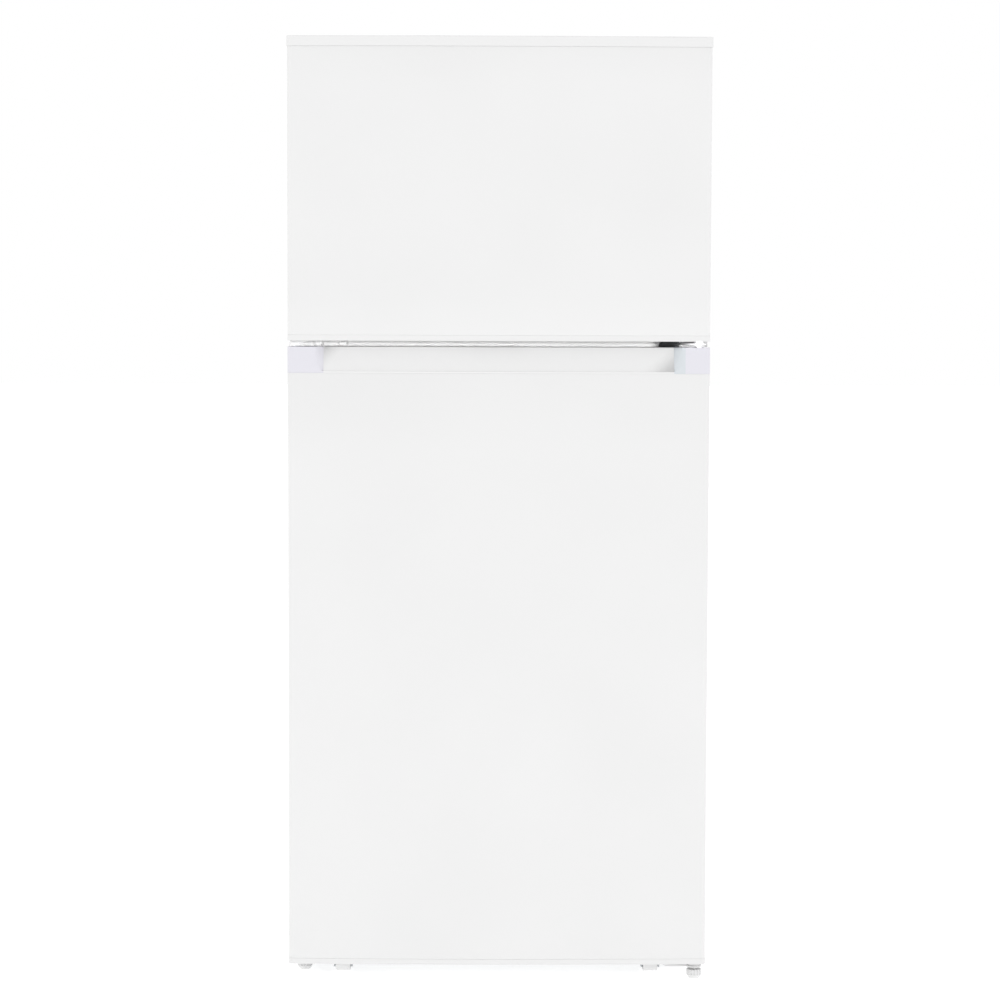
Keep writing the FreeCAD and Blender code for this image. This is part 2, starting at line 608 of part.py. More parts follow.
FREEZER_RIM = (FREEZER_HALF - DYKE_CLEAR, (FREEZER_Z[0] + DYKE_CLEAR, FREEZER_Z[1] - DYKE_CLEAR))
FRIDGE_RIM = (FRIDGE_HALF - DYKE_CLEAR, (FRIDGE_Z[0] + DYKE_CLEAR, FRIDGE_Z[1] - DYKE_CLEAR))
CAP_PLUG = 12.0               # depth that each cap plugs into the foam


def pin_bore(z0, z1, radius=PIN_R):
    return cyl(radius + PIN_CLEAR, z1 - z0, PIVOT_X, PIVOT_Y, z0)


def cap(z0, z1, inset, plug_z0, plug_z1):
    """A moulded door end: its visible rim, and a plug that stands inside the sheet."""
    rim = door_block(z0, z1, inset)
    plug = door_block(plug_z0, plug_z1, CAP_PROUD + SKIN, DOOR_BACK - LINER)
    return rim.fuse(plug).removeSplitter()


def top_hinge_pocket():
    """Room for the top hinge's arm, from straight back round to the door wide open."""
    clear = 1.5
    left = PIVOT_X - ARM_HALF - clear
    outline = [(left, CAB_FRONT), (left, PIVOT_Y - 4.0), (PIVOT_X - 6.0, PIVOT_Y - ARM_HALF - clear),
               (PIVOT_X + 2.0, PIVOT_Y - ARM_HALF - clear - 1.5), (HALF + 1.0, PIVOT_Y - 25.0),
               (HALF + 1.0, CAB_FRONT)]
    return plate_xy(outline, TOP_PLATE_Z - clear, HEIGHT + 1.0)


def freezer_door_top_cap():
    z0, z1 = FREEZER_DOOR[1] - FREEZER_TOP_CAP_H, FREEZER_DOOR[1]
    body = cap(z0, z1, 0.0, z0 - CAP_PLUG, z0)
    top = [edge for edge in body.Edges
           if abs(edge.BoundBox.ZMin - z1) < 0.01 and abs(edge.BoundBox.ZMax - z1) < 0.01
           and edge.BoundBox.YMax < DOOR_BACK - 1]
    body = body.makeFillet(1.5, top)
    bore = pin_bore(TOP_PLATE_Z - PIN_DEPTH - 2.0, z1 + 1)
    return holes(body, [top_hinge_pocket(), bore])


def finger_pull():
    """Scoop up into the lower edge of the freezer door, open below and behind its lip."""
    z0 = FREEZER_DOOR[0]
    lip = 6.0
    front = FRONT + lip
    return profile_xz([(-PULL_HALF, z0 - 1), (PULL_HALF, z0 - 1), (PULL_HALF - 14.0, z0 + PULL_D),
                       (-PULL_HALF + 14.0, z0 + PULL_D)], front, front + PULL_W)


def freezer_door_bottom_cap():
    z0 = FREEZER_DOOR[0]
    body = cap(z0, z0 + BOTTOM_CAP_H, CAP_PROUD, z0 + BOTTOM_CAP_H, z0 + BOTTOM_CAP_H + CAP_PLUG)
    return holes(body, [finger_pull(), pin_bore(z0 - 1, z0 + PIN_DEPTH + 1.0)])


def band_scoop():
    """The long hollow in the band's face: deepest along its top, sloped out at both ends."""
    z0, z1 = FRIDGE_DOOR[1] - BAND_H + 3.0, FRIDGE_DOOR[1] + 1.0
    ends = []
    for z, depth in ((z0, 1.2), (z1, SCOOP_DEPTH)):
        outer, inner = SCOOP_HALF + SCOOP_RAMP, SCOOP_HALF
        mid = FRONT + CAP_PROUD + depth
        tip = FRONT - 12.0
        sag = DOOR_CROWN * (inner / HALF) ** 2
        near = Part.Arc(vec(-inner, mid + sag, z), vec(0, mid, z), vec(inner, mid + sag, z)).toShape()
        lines = [Part.makeLine(vec(inner, mid + sag, z), vec(outer, tip + DOOR_CROWN + 6, z)),
                 Part.makeLine(vec(outer, tip + DOOR_CROWN + 6, z), vec(outer, tip, z)),
                 Part.makeLine(vec(outer, tip, z), vec(-outer, tip, z)),
                 Part.makeLine(vec(-outer, tip, z), vec(-outer, tip + DOOR_CROWN + 6, z)),
                 Part.makeLine(vec(-outer, tip + DOOR_CROWN + 6, z), vec(-inner, mid + sag, z))]
        ends.append(Part.Wire([near] + lines))
    return Part.makeLoft(ends, True, True)


def finger_trough():
    """Groove behind the band's lip, where the fingers go."""
    y0 = DOOR_END_FRONT + SCOOP_DEPTH + 5.0
    z1 = FRIDGE_DOOR[1]
    groove = box(-TROUGH_HALF, TROUGH_HALF, y0, y0 + TROUGH_W, z1 - TROUGH_D, z1 + TROUGH_W)
    return round_edges(groove, TROUGH_W / 2 - 0.5, (1, 0, 0), lambda middle: middle.z < z1)


BAND_BACK_H = 18.0            # height of the band on the back of the door, over the liner
BAND_BACK_D = 12.0            # room for liner and foam behind the band


def band_blank():
    """The handle band before its hollows are cut; the liner runs up behind it."""
    z0, z1 = FRIDGE_DOOR[1] - BAND_H, FRIDGE_DOOR[1]
    body = cap(z0, z1, CAP_PROUD, z0 - CAP_PLUG, z0)
    side = HALF - CAP_PROUD - SKIN_RETURN
    return body.cut(box(-side, side, DOOR_BACK - BAND_BACK_D, DOOR_BACK + 1, z0 - FAR, z1 - BAND_BACK_H))


def fridge_door_top_cap():
    z1 = FRIDGE_DOOR[1]
    return holes(band_blank(), [band_scoop(), finger_trough(), pin_bore(z1 - PIN_DEPTH - 1.0, z1 + 1)])


def fridge_door_bottom_cap():
    z0 = FRIDGE_DOOR[0]
    body = cap(z0, z0 + BOTTOM_CAP_H, CAP_PROUD, z0 + BOTTOM_CAP_H, z0 + BOTTOM_CAP_H + CAP_PLUG)
    return holes(body, [pin_bore(z0 - 1, z0 + PIN_DEPTH + 5.0, FOOT_PIN_R)])


def door_bin(half, z, floor, height, depth):
    """Moulded bin that hangs between the rims: an open box with a deep front."""
    x = half - DYKE_W - 1.0
    y0 = DOOR_BACK - POCKET_D + 0.3
    y1 = y0 + depth
    outer = box(-x, x, y0, y1, floor, floor + height)
    outer = round_edges(outer, 14.0, (0, 0, 1), lambda middle: middle.y > y0 + 1)
    inner = box(-x + BIN_WALL, x - BIN_WALL, y0 + BIN_WALL, y1 - BIN_WALL,
                floor + BIN_WALL, floor + height + 1)
    inner = round_edges(inner, 14.0 - BIN_WALL, (0, 0, 1), lambda middle: middle.y > y0 + 5)
    low_back = box(-x + 30, x - 30, y0 - 1, y0 + BIN_WALL + 1, floor + 0.45 * height, floor + height + 1)
    rim = box(-x, x, y1, y1 + 4.0, floor + height - 10.0, floor + height)
    rim = round_edges(rim, 2.0, (1, 0, 0), lambda middle: middle.y > y1 + 1)
    shell = outer.cut(inner).cut(low_back)
    return fused([shell, rim.common(box(-x + 14.0, x - 14.0, y1, y1 + 5, floor, floor + height))])


def bin_lugs(half, bins):
    """Wedges moulded on the inner sides of the rim, that each bin drops over."""
    x = half - DYKE_W
    lugs = []
    for name, floor, height in bins:
        for side in (-1, 1):
            x0, x1 = sorted((side * (x - 1.0), side * (x + 0.5)))
            lugs.append(box(x0, x1, DOOR_BACK + 4.0, DOOR_BACK + 22.0, floor + 6.0, floor + 40.0))
    return lugs


# ================================================================ inside the fridge
def shelf(z):
    """A glass pane in a moulded frame that rests on ledges of the side walls."""
    half = FRIDGE_HALF - SIDE_GAP
    back = FREEZER_BACK - 6.0
    outer = box(-half, half, SHELF_FRONT, back, z - FRAME_T, z)
    window = box(-half + FRAME_W, half - FRAME_W, SHELF_FRONT + FRAME_W, back - FRAME_W, z - FAR, z + FAR)
    seat = box(-half + FRAME_W - 6, half - FRAME_W + 6, SHELF_FRONT + FRAME_W - 6, back - FRAME_W + 6,
               z - GLASS_T, z + 1)
    nose = cyl(FRAME_T / 2, 2 * half, -half, SHELF_FRONT, z - FRAME_T / 2, (1, 0, 0))
    frame = fused([outer, nose]).cut(window).cut(seat)
    pane = box(-half + FRAME_W - 6, half - FRAME_W + 6, SHELF_FRONT + FRAME_W - 6, back - FRAME_W + 6,
               z - GLASS_T, z)
    return frame, pane


RUNNER_T = 5.0


def crisper_cover():
    """The lowest shelf; a rail hangs under its middle and carries both drawers' lips."""
    half = FRIDGE_HALF - SIDE_GAP
    back = STEP_Y - 4.0
    z = COVER_Z
    outer = box(-half, half, CRISPER_FRONT + 4.0, back, z - COVER_T, z)
    window = box(-half + FRAME_W, half - FRAME_W, CRISPER_FRONT + 4.0 + FRAME_W, back - FRAME_W,
                 z - FAR, z + FAR)
    seat = box(-half + FRAME_W - 6, half - FRAME_W + 6, CRISPER_FRONT + FRAME_W - 2, back - FRAME_W + 6,
               z - GLASS_T, z + 1)
    bar = box(-6.0, 6.0, CRISPER_FRONT + 4.0, back, z - COVER_T, z - GLASS_T)
    start = CRISPER_FRONT + FRONT_T + 0.5
    web = box(-2.0, 2.0, start, back, runner_z() - RUNNER_T, z - COVER_T)
    wing = box(-2.0 - RUNNER_W, 2.0 + RUNNER_W, start, back, runner_z() - RUNNER_T, runner_z())
    frame = fused([outer.cut(window).cut(seat), bar, web, wing])
    pane = box(-half + FRAME_W - 6, half - FRAME_W + 6, CRISPER_FRONT + FRAME_W - 2, back - FRAME_W + 6,
               z - GLASS_T, z)
    return frame, pane


RUNNER_W = 10.0
FRONT_T = 10.0                # thickness of a crisper's front


def runner_z():
    """Top of the runners: the drawers' lips slide on them."""
    return CRISPER_TOP - 6.0 - CRISPER_GAP / 10.0


def shelf_ledges(half, z, y0, y1, under, reach=9.0):
    """Ribs moulded on the side walls under a shelf."""
    ribs = []
    for side in (-1, 1):
        x0, x1 = sorted((side * (half + 0.5), side * (half - reach)))
        rib = box(x0, x1, y0, y1, z - under - 8.0, z - under)
        ribs.append(rib)
    return ribs


def fridge_ribs():
    ribs = []
    for z in SHELF_Z:
        ribs += shelf_ledges(FRIDGE_HALF, z, SHELF_FRONT + 30.0, FREEZER_BACK - 30.0, FRAME_T)
    ribs += shelf_ledges(FRIDGE_HALF, COVER_Z, CRISPER_FRONT + 20.0, STEP_Y - 10.0, COVER_T,
                         CRISPER_GAP + 1.0)
    for side in (-1, 1):
        x0, x1 = sorted((side * (FRIDGE_HALF + 0.5), side * (FRIDGE_HALF - 2.0 - RUNNER_W)))
        ribs.append(box(x0, x1, CRISPER_FRONT + FRONT_T + 0.5, STEP_Y - 4.0,
                        runner_z() - RUNNER_T, runner_z()))
    return ribs


def freezer_ribs():
    return shelf_ledges(FREEZER_HALF, FREEZER_SHELF_Z, -140.0, FREEZER_COVER_Y - 20.0, 8.0)


def crisper_drawer(side):
    """Clear drawer with a deep front; its side lips hang on the runners."""
    lip = 8.0
    inner_x = 2.0 + CRISPER_GAP + lip
    outer_x = FRIDGE_HALF - 2.0 - CRISPER_GAP - lip
    y1 = STEP_Y - 8.0
    z0, z1 = FRIDGE_Z[0] + CRISPER_GAP, CRISPER_TOP
    body = box(inner_x, outer_x, CRISPER_FRONT + 8.0, y1, z0, z1)
    body = round_edges(body, 16.0, (0, 1, 0), lambda middle: middle.z < z0 + 1)
    hollow = box(inner_x + CRISPER_WALL, outer_x - CRISPER_WALL, CRISPER_FRONT + 11.0, y1 - CRISPER_WALL,
                 z0 + CRISPER_WALL, z1 + 1)
    hollow = round_edges(hollow, 16.0 - CRISPER_WALL, (0, 1, 0), lambda middle: middle.z < z0 + 10)
    lips = [box(inner_x - lip, inner_x + 1, CRISPER_FRONT + 8.0, y1, runner_z() + 0.3, z1),
            box(outer_x - 1, outer_x + lip, CRISPER_FRONT + 8.0, y1, runner_z() + 0.3, z1)]
    front = box(inner_x - lip, outer_x + lip, CRISPER_FRONT, CRISPER_FRONT + FRONT_T, z0, z1)
    front = round_edges(front, 8.0, (0, 1, 0))
    pull_x0, pull_x1 = inner_x + 60.0, outer_x - 60.0
    pull = box(pull_x0, pull_x1, CRISPER_FRONT - 14.0, CRISPER_FRONT + 1, z1 - 34.0, z1 - 12.0)
    pull = round_edges(pull, 6.0, (1, 0, 0), lambda middle: middle.y < CRISPER_FRONT - 5)
    grip = box(pull_x0 + 4, pull_x1 - 4, CRISPER_FRONT - 10.0, CRISPER_FRONT + 2.0, z1 - 36.0, z1 - 16.0)
    drawer = fused([body.cut(hollow), front, pull.cut(grip)] + lips)
    clear = box(inner_x + CRISPER_WALL + 12, outer_x - CRISPER_WALL - 12,
                CRISPER_FRONT + 5.0, CRISPER_FRONT + 12,
                z0 + 16.0, z1 - 8.0)
    drawer = drawer.cut(clear)
    return drawer if side > 0 else mirrored(drawer)


HOUSING_X = 185.0
HOUSING_Y = (-150.0, 70.0)
HOUSING_Z = FRIDGE_Z[1] - 46.0
KNOB_X = 92.0
KNOB_R = 19.0
KNOB_REACH = 15.0
LENS_HALF = 70.0


def knob_z():
    return HOUSING_Z + 23.0


def control_housing():
    """Moulded box on the fridge ceiling that holds the thermostat and the lamp."""
    z1 = FRIDGE_Z[1]
    shell = box(-HOUSING_X, HOUSING_X, HOUSING_Y[0], HOUSING_Y[1], HOUSING_Z, z1)
    shell = round_edges(shell, 14.0, (1, 0, 0), lambda middle: middle.z < z1 - 1)
    shell = round_edges(shell, 6.0, (0, 0, 1))
    inside = box(-HOUSING_X + 2, HOUSING_X - 2, HOUSING_Y[0] + 2, HOUSING_Y[1] - 2, HOUSING_Z + 2, z1 + 1)
    inside = round_edges(inside, 12.0, (1, 0, 0), lambda middle: middle.z < z1)
    window = box(-LENS_HALF - 100.0, LENS_HALF - 100.0 + 20.0, HOUSING_Y[0] + 50, HOUSING_Y[1] - 50,
                 HOUSING_Z - 1, HOUSING_Z + 3)
    spindle = cyl(4.3, 20.0, KNOB_X, HOUSING_Y[0] - 1, knob_z(), (0, 1, 0))
    return shell.cut(inside).cut(window).cut(spindle)


def thermostat():
    """Thermostat body inside the housing, with the spindle that the knob fits on."""
    body = box(KNOB_X - 22, KNOB_X + 22, HOUSING_Y[0] + 6.0, HOUSING_Y[0] + 40.0, knob_z() - 12, FRIDGE_Z[1])
    nut = cyl(8.0, 6.0, KNOB_X, HOUSING_Y[0] + 2.0, knob_z(), (0, 1, 0))
    spindle = cyl(3.0, 22.0, KNOB_X, HOUSING_Y[0] - 10.0, knob_z(), (0, 1, 0))
    return fused([body, nut, spindle])


def temperature_knob():
    y = HOUSING_Y[0] - 0.5
    skirt = cyl(KNOB_R, 4.0, KNOB_X, y - 4.0, knob_z(), (0, 1, 0))
    grip = cyl(KNOB_R - 4.0, KNOB_REACH, KNOB_X, y - KNOB_REACH, knob_z(), (0, 1, 0))
    flutes = []
    count = 12
    for number in range(count):
        angle = 2 * math.pi * number / count
        x = KNOB_X + (KNOB_R - 3.0) * math.cos(angle)
        z = knob_z() + (KNOB_R - 3.0) * math.sin(angle)
        flutes.append(cyl(2.0, KNOB_REACH - 4.0, x, y - KNOB_REACH, z, (0, 1, 0)))
    pointer = box(KNOB_X - 1.2, KNOB_X + 1.2, y - KNOB_REACH - 1.0, y - KNOB_REACH,
                  knob_z() + 3, knob_z() + 13)
    body = holes(skirt.fuse(grip), flutes).fuse(pointer).removeSplitter()
    return body.cut(cyl(3.3, KNOB_REACH - 3.0, KNOB_X, y - KNOB_REACH + 3.0, knob_z(), (0, 1, 0)))


def light_lens():
    """Clear cover of the lamp, let into the bottom of the housing."""
    x0, x1 = -LENS_HALF - 100.0 + 0.3, LENS_HALF - 80.0 - 0.3
    y0, y1 = HOUSING_Y[0] + 50.3, HOUSING_Y[1] - 50.3
    plate = box(x0, x1, y0, y1, HOUSING_Z, HOUSING_Z + 2.0)
    rim = box(x0 - 3, x1 + 3, y0 - 3, y1 + 3, HOUSING_Z + 2.0, HOUSING_Z + 4.0)
    return plate.fuse(rim).removeSplitter()


def lamp():
    """Small lamp in its holder, above the lens."""
    x, y = -90.0, (HOUSING_Y[0] + HOUSING_Y[1]) / 2
    holder = cyl(12.0, 26.0, x + 22.0, y, knob_z() + 4.0, (1, 0, 0))
    bracket = box(x + 24.0, x + 44.0, y - 8, y + 8, knob_z() + 10.0, FRIDGE_Z[1])
    glass = cyl(10.0, 26.0, x - 4.0, y, knob_z() + 4.0, (1, 0, 0))
    tip = Part.makeSphere(10.0, vec(x - 4.0, y, knob_z() + 4.0))
    return fused([holder, bracket]), fused([glass, tip])


SWITCH_X = 285.0
SWITCH_Z = FRIDGE_RIM[1][1] - 14.0
SWITCH_FACE = DOOR_BACK + DYKE_REACH + 14.0


def light_switch_body():
    body = box(SWITCH_X - 11, SWITCH_X + 11, SWITCH_FACE, SWITCH_FACE + 34.0, SWITCH_Z - 9, FRIDGE_Z[1])
    return body.cut(cyl(4.3, 24.0, SWITCH_X, SWITCH_FACE - 1, SWITCH_Z, (0, 1, 0)))


def light_switch_plunger():
    y0 = DOOR_BACK + DYKE_REACH + 0.3
    stem = cyl(4.0, SWITCH_FACE + 21.0 - y0, SWITCH_X, y0, SWITCH_Z, (0, 1, 0))
    return round_tip(stem, y0)


def round_tip(stem, y0):
    rim = [edge for edge in stem.Edges if edge.BoundBox.YMax < y0 + 0.01]
    return stem.makeFillet(2.0, rim)


# ================================================================ inside the freezer
def freezer_shelf():
    """Wire shelf: two long rails and the rods across them."""
    z = FREEZER_SHELF_Z
    half = FREEZER_HALF - SIDE_GAP
    rod = 2.5
    y0, y1 = -150.0, FREEZER_COVER_Y - 8.0
    pieces = [cyl(rod + 0.5, 2 * half, -half, y, z - 5.0, (1, 0, 0)) for y in (y0, (y0 + y1) / 2, y1)]
    count = 23
    for number in range(count):
        x = -half + 6.0 + (2 * half - 12.0) * number / (count - 1)
        pieces.append(cyl(rod, y1 - y0, x, y0, z - 2.5, (0, 1, 0)))
    return fused(pieces)


def evaporator_cover():
    """Moulded panel before the evaporator, with return slots below and outlets above."""
    half = FREEZER_HALF - 1.0
    z0, z1 = FREEZER_Z[0] + 1.0, FREEZER_Z[1] - 1.0
    y = FREEZER_COVER_Y
    panel = box(-half, half, y, y + 3.0, z0, z1)
    panel = round_edges(panel, CORNER_R, (0, 1, 0))
    slots = []
    for number in range(14):
        x = -half + 45.0 + (2 * half - 90.0) * number / 13
        slots.append(box(x - 12, x + 12, y - 1, y + 4, z0 + 20.0, z0 + 26.0))
    for row in range(5):
        z = FAN_Z - 26.0 + 13.0 * row
        slots.append(box(-60, 60, y - 1, y + 4, z - 3.0, z + 3.0))
    slots.append(box(SLIDER_X - 32, SLIDER_X + 32, y - 1, y + 4, SLIDER_Z - 4, SLIDER_Z + 4))
    for side in (-1, 1):
        rib = box(side * 120 - 4, side * 120 + 4, y + 3.0, y + 7.0, z0 + 40, z1 - 20)
        panel = panel.fuse(rib)
    return holes(panel.removeSplitter(), slots)


FAN_Z = FREEZER_Z[1] - 62.0
FAN_R = 44.0
SLIDER_X = 190.0
SLIDER_Z = FREEZER_Z[1] - 50.0
SLIDER_TRAVEL = 36.0


def freezer_air_slider():
    """Knob of the air gate: it slides along its slot in the panel."""
    x = SLIDER_X - SLIDER_TRAVEL / 2
    y = FREEZER_COVER_Y
    cap_piece = box(x - 12, x + 12, y - 7.0, y - 0.5, SLIDER_Z - 9, SLIDER_Z + 9)
    cap_piece = round_edges(cap_piece, 3.0, (0, 1, 0))
    stem = box(x - 9, x + 9, y - 1.0, y + 4.0, SLIDER_Z - 3.5, SLIDER_Z + 3.5)
    keeper = box(x - 14, x + 14, y + 3.5, y + 5.5, SLIDER_Z - 10, SLIDER_Z + 10)
    grip = box(x - 1.5, x + 1.5, y - 9.0, y - 6.5, SLIDER_Z - 8, SLIDER_Z + 8)
    return fused([cap_piece, stem, keeper, grip])


def fan_motor():
    """Motor on a three-armed bracket behind the panel, with its shaft forward."""
    y1 = FREEZER_BACK
    body = cyl(22.0, 20.0, 0, y1 - 20.0, FAN_Z, (0, 1, 0))
    shaft = cyl(2.0, 26.0, 0, y1 - 40.0, FAN_Z, (0, 1, 0))
    arms = []
    for angle in (90, 210, 330):
        arm = box(0, 60.0, y1 - 8.0, y1, FAN_Z - 5, FAN_Z + 5)
        arm.rotate(vec(0, 0, FAN_Z), vec(0, 1, 0), angle)
        arms.append(arm)
    lowest = box(-FAR, FAR, 0, FAR, -FAR, FREEZER_Z[1] - 0.5)
    return fused([body, shaft] + arms).common(lowest)


def evaporator_fan():
    """Hub with five pitched blades."""
    y0 = FREEZER_COVER_Y + 6.0
    hub = cyl(13.0, 14.0, 0, y0, FAN_Z, (0, 1, 0))
    blades = []
    for number in range(5):
        blade = Part.makeBox(FAN_R - 9.0, 1.6, 26.0, vec(9.0, -0.8, -13.0))
        blade.rotate(vec(0, 0, 0), vec(1, 0, 0), 63.0)
        blade.rotate(vec(0, 0, 0), vec(0, 1, 0), 72.0 * number)
        blade.translate(vec(0, y0 + 7.0, FAN_Z))
        blades.append(blade)
    disc = cyl(FAN_R, 20.0, 0, y0 - 3.0, FAN_Z, (0, 1, 0))
    wheel = fused([hub] + [blade.common(disc) for blade in blades])
    return wheel.cut(cyl(2.2, 30.0, 0, y0 - 5.0, FAN_Z, (0, 1, 0)))


EVAP_HALF = 235.0
EVAP_Z = (FREEZER_Z[0] + 44.0, FAN_Z - 62.0)
TUBE_R = 4.0


def evaporator_rows():
    rows = 6
    step = (EVAP_Z[1] - EVAP_Z[0] - 30.0) / (rows - 1)
    return [EVAP_Z[0] + 15.0 + step * number for number in range(rows)]


def evaporator_y():
    return (FREEZER_COVER_Y + FREEZER_BACK) / 2 + 4.0


def evaporator_tube():
    """One serpentine of aluminium tube: straight rows joined by U bends."""
    rows = evaporator_rows()
    y = evaporator_y()
    pieces = []
    end = EVAP_HALF + 8.0
    for number, z in enumerate(rows):
        pieces.append(cyl(TUBE_R, 2 * end, -end, y, z, (1, 0, 0)))
        if number + 1 < len(rows):
            side = end if number % 2 == 0 else -end
            bend_r = (rows[number + 1] - z) / 2
            bend = Part.makeTorus(bend_r, TUBE_R, vec(side, y, z + bend_r), vec(0, 1, 0))
            x0, x1 = sorted((side, side + math.copysign(FAR, side)))
            pieces.append(bend.common(box(x0, x1, y - 20, y + 20, z - 20, z + 2 * bend_r + 20)))
    return fused(pieces)


def evaporator_fins():
    """Plate fins: a block of thin sheets on the tube; the outer two reach the back wall."""
    y = evaporator_y()
    depth = 15.0
    count = 40
    holes_in_fin = [cyl(TUBE_R, 2 * FAR, -FAR, y, z, (1, 0, 0)) for z in evaporator_rows()]
    fin = box(-0.4, 0.4, y - depth, y + depth, EVAP_Z[0], EVAP_Z[1])
    fin = holes(fin, holes_in_fin)
    fins = []
    for number in range(count):
        copy = fin.copy()
        copy.translate(vec(-EVAP_HALF + 2 * EVAP_HALF * number / (count - 1), 0, 0))
        fins.append(copy)
    for number in (0, -1):
        x = fins[number].BoundBox.Center.x
        plate = box(x - 0.4, x + 0.4, y - depth, FREEZER_BACK, EVAP_Z[0], EVAP_Z[1])
        fins[number] = holes(plate, holes_in_fin)
    return fins


# ================================================================ machine bay
COMP_X = 150.0
COMP_Y = 268.0
COMP_R = 78.0
COMP_Z = (58.0, 206.0)
GROMMET_R = 11.0
PIPE_Y = COMP_Y + 42.0
ROWS = 5
ROW_RISE = 22.0
ROW_PITCH = 51.0              # between the condenser's three banks
ROW_Z = 80.0
ROW_R = 3.0
DRIER_R = 9.0


def compressor_feet():
    return [(COMP_X + dx, COMP_Y + dy) for dx in (-92.0, 92.0) for dy in (-62.0, 62.0)]


def compressor():
    """Domed steel shell on a footplate, with its three stubs and terminal fence."""
    z0, z1 = COMP_Z
    dome = 34.0
    can = cyl(COMP_R, z1 - z0 - 2 * dome, COMP_X, COMP_Y, z0 + dome)
    ends = []
    for z, sign in ((z0 + dome, -1), (z1 - dome, 1)):
        ball = Part.makeSphere(COMP_R, vec(0, 0, 0))
        squash = FreeCAD.Matrix()
        squash.scale(1.0, 1.0, dome / COMP_R)
        ball = ball.transformGeometry(squash)
        ball.translate(vec(COMP_X, COMP_Y, z))
        low, high = sorted((z, z + sign * 2 * dome))
        ends.append(ball.common(box(-FAR, FAR, 0, FAR, low, high)))
    seam = cyl(COMP_R + 3.0, 5.0, COMP_X, COMP_Y, (z0 + z1) / 2)
    foot_z = CABINET_BOTTOM + 20.0
    plate = box(COMP_X - 104, COMP_X + 104, COMP_Y - 74, COMP_Y + 74, foot_z, foot_z + 3.0)
    plate = round_edges(plate, 18.0, (0, 0, 1))
    plate = holes(plate, [cyl(GROMMET_R - 4.0, 9.0, x, y, foot_z - 3) for x, y in compressor_feet()])
    stubs = [cyl(4.0, 30.0, COMP_X - COMP_R - 12.0, PIPE_Y, z, (1, 0, 0)) for z in (92.0, 150.0)]
    pins = box(COMP_X + COMP_R - 12.0, COMP_X + COMP_R + 6.0, COMP_Y - 18, COMP_Y + 18, 100.0, 136.0)
    return fused([can] + ends + [seam, plate] + stubs + [pins])


def compressor_grommets():
    """Rubber mounts: a waist holds the footplate, a bolt stands on the deck."""
    grommets, bolts = [], []
    foot_z = CABINET_BOTTOM + 20.0
    for x, y in compressor_feet():
        low = cyl(GROMMET_R, foot_z - CABINET_BOTTOM, x, y, CABINET_BOTTOM)
        waist = cyl(GROMMET_R - 4.0, 3.0, x, y, foot_z)
        head = cyl(GROMMET_R - 2.0, 5.0, x, y, foot_z + 3.0)
        body = fused([low, waist, head]).cut(cyl(3.2, 60.0, x, y, CABINET_BOTTOM - 5))
        grommets.append(body)
        bolt = cyl(3.0, 34.0, x, y, CABINET_BOTTOM)
        nut = cyl(6.5, 5.0, x, y, foot_z + 8.0)
        bolts.append(fused([bolt, nut]))
    return grommets, bolts


def relay_cover():
    x0 = COMP_X + COMP_R + 6.0
    shell = box(x0, x0 + 34.0, COMP_Y - 30, COMP_Y + 30, 88.0, 150.0)
    return round_edges(shell, 6.0, (1, 0, 0))


def bent_tube(points, radius, bend):
    """Copper tube: straight runs joined by tangent arcs."""
    points = [vec(*point) for point in points]
    edges = []
    start = points[0]
    for before, corner, after in zip(points, points[1:], points[2:]):
        back = (before - corner).normalize()
        ahead = (after - corner).normalize()
        turn = math.pi - back.getAngle(ahead)
        reach = bend * math.tan(turn / 2)
        into, out = corner + back * reach, corner + ahead * reach
        middle_way = (back + ahead).normalize()
        middle = corner + middle_way * (bend / math.cos(turn / 2) - bend)
        edges.append(Part.LineSegment(start, into).toShape())
        edges.append(Part.Arc(into, middle, out).toShape())
        start = out
    edges.append(Part.LineSegment(start, points[-1]).toShape())
    path = Part.Wire(edges)
    heading = (points[1] - points[0]).normalize()
    ring = Part.Wire(Part.makeCircle(radius, points[0], heading))
    return path.makePipeShell([ring], True, False)


CONDENSER_X = (-330.0, -40.0)


def refrigerant_tubes():
    """Suction and discharge lines, and the filter drier on the top row."""
    x_out = COMP_X - COMP_R - 12.0
    row_end = CONDENSER_X[1] - 20.0
    discharge = bent_tube([(x_out, PIPE_Y, 92.0), (x_out - 26.0, PIPE_Y, 92.0), (x_out - 26.0, PIPE_Y, 66.0),
                           (row_end + 30.0, PIPE_Y, 66.0), (row_end + 30.0, PIPE_Y, ROW_Z),
                           (row_end, PIPE_Y, ROW_Z)], ROW_R, 6.5)
    suction = bent_tube([(x_out, PIPE_Y, 150.0), (x_out - 24.0, PIPE_Y, 150.0), (x_out - 24.0, PIPE_Y, 222.0),
                         (x_out - 24.0, BACK - 40.0, 222.0), (x_out - 24.0, BACK - 40.0, BAY_TOP)], 4.0, 9.0)
    drier_x = CONDENSER_X[0] + 40.0
    drier_z = ROW_Z + ROW_RISE * (ROWS - 1) + ROW_R + DRIER_R
    drier = cyl(DRIER_R, 90.0, drier_x, PIPE_Y, drier_z, (1, 0, 0))
    neck = cyl(3.0, 120.0, drier_x - 15.0, PIPE_Y, drier_z, (1, 0, 0))
    return [discharge, suction, fused([drier, neck])]


def condenser():
    """Folded tube rows on two side plates, beside the compressor."""
    x0, x1 = CONDENSER_X
    banks = [PIPE_Y - ROW_PITCH * number for number in range(3)]
    pieces = []
    for number in range(ROWS):
        for y in banks:
            pieces.append(cyl(ROW_R, x1 - x0 - 40.0, x0 + 20.0, y, ROW_Z + ROW_RISE * number, (1, 0, 0)))
    for x in (x0 + 20.0, x1 - 22.0):
        pieces.append(box(x, x + 2.0, banks[-1] - 12.0, banks[0] + 12.0, CABINET_BOTTOM, plate_top()))
    return fused(pieces)


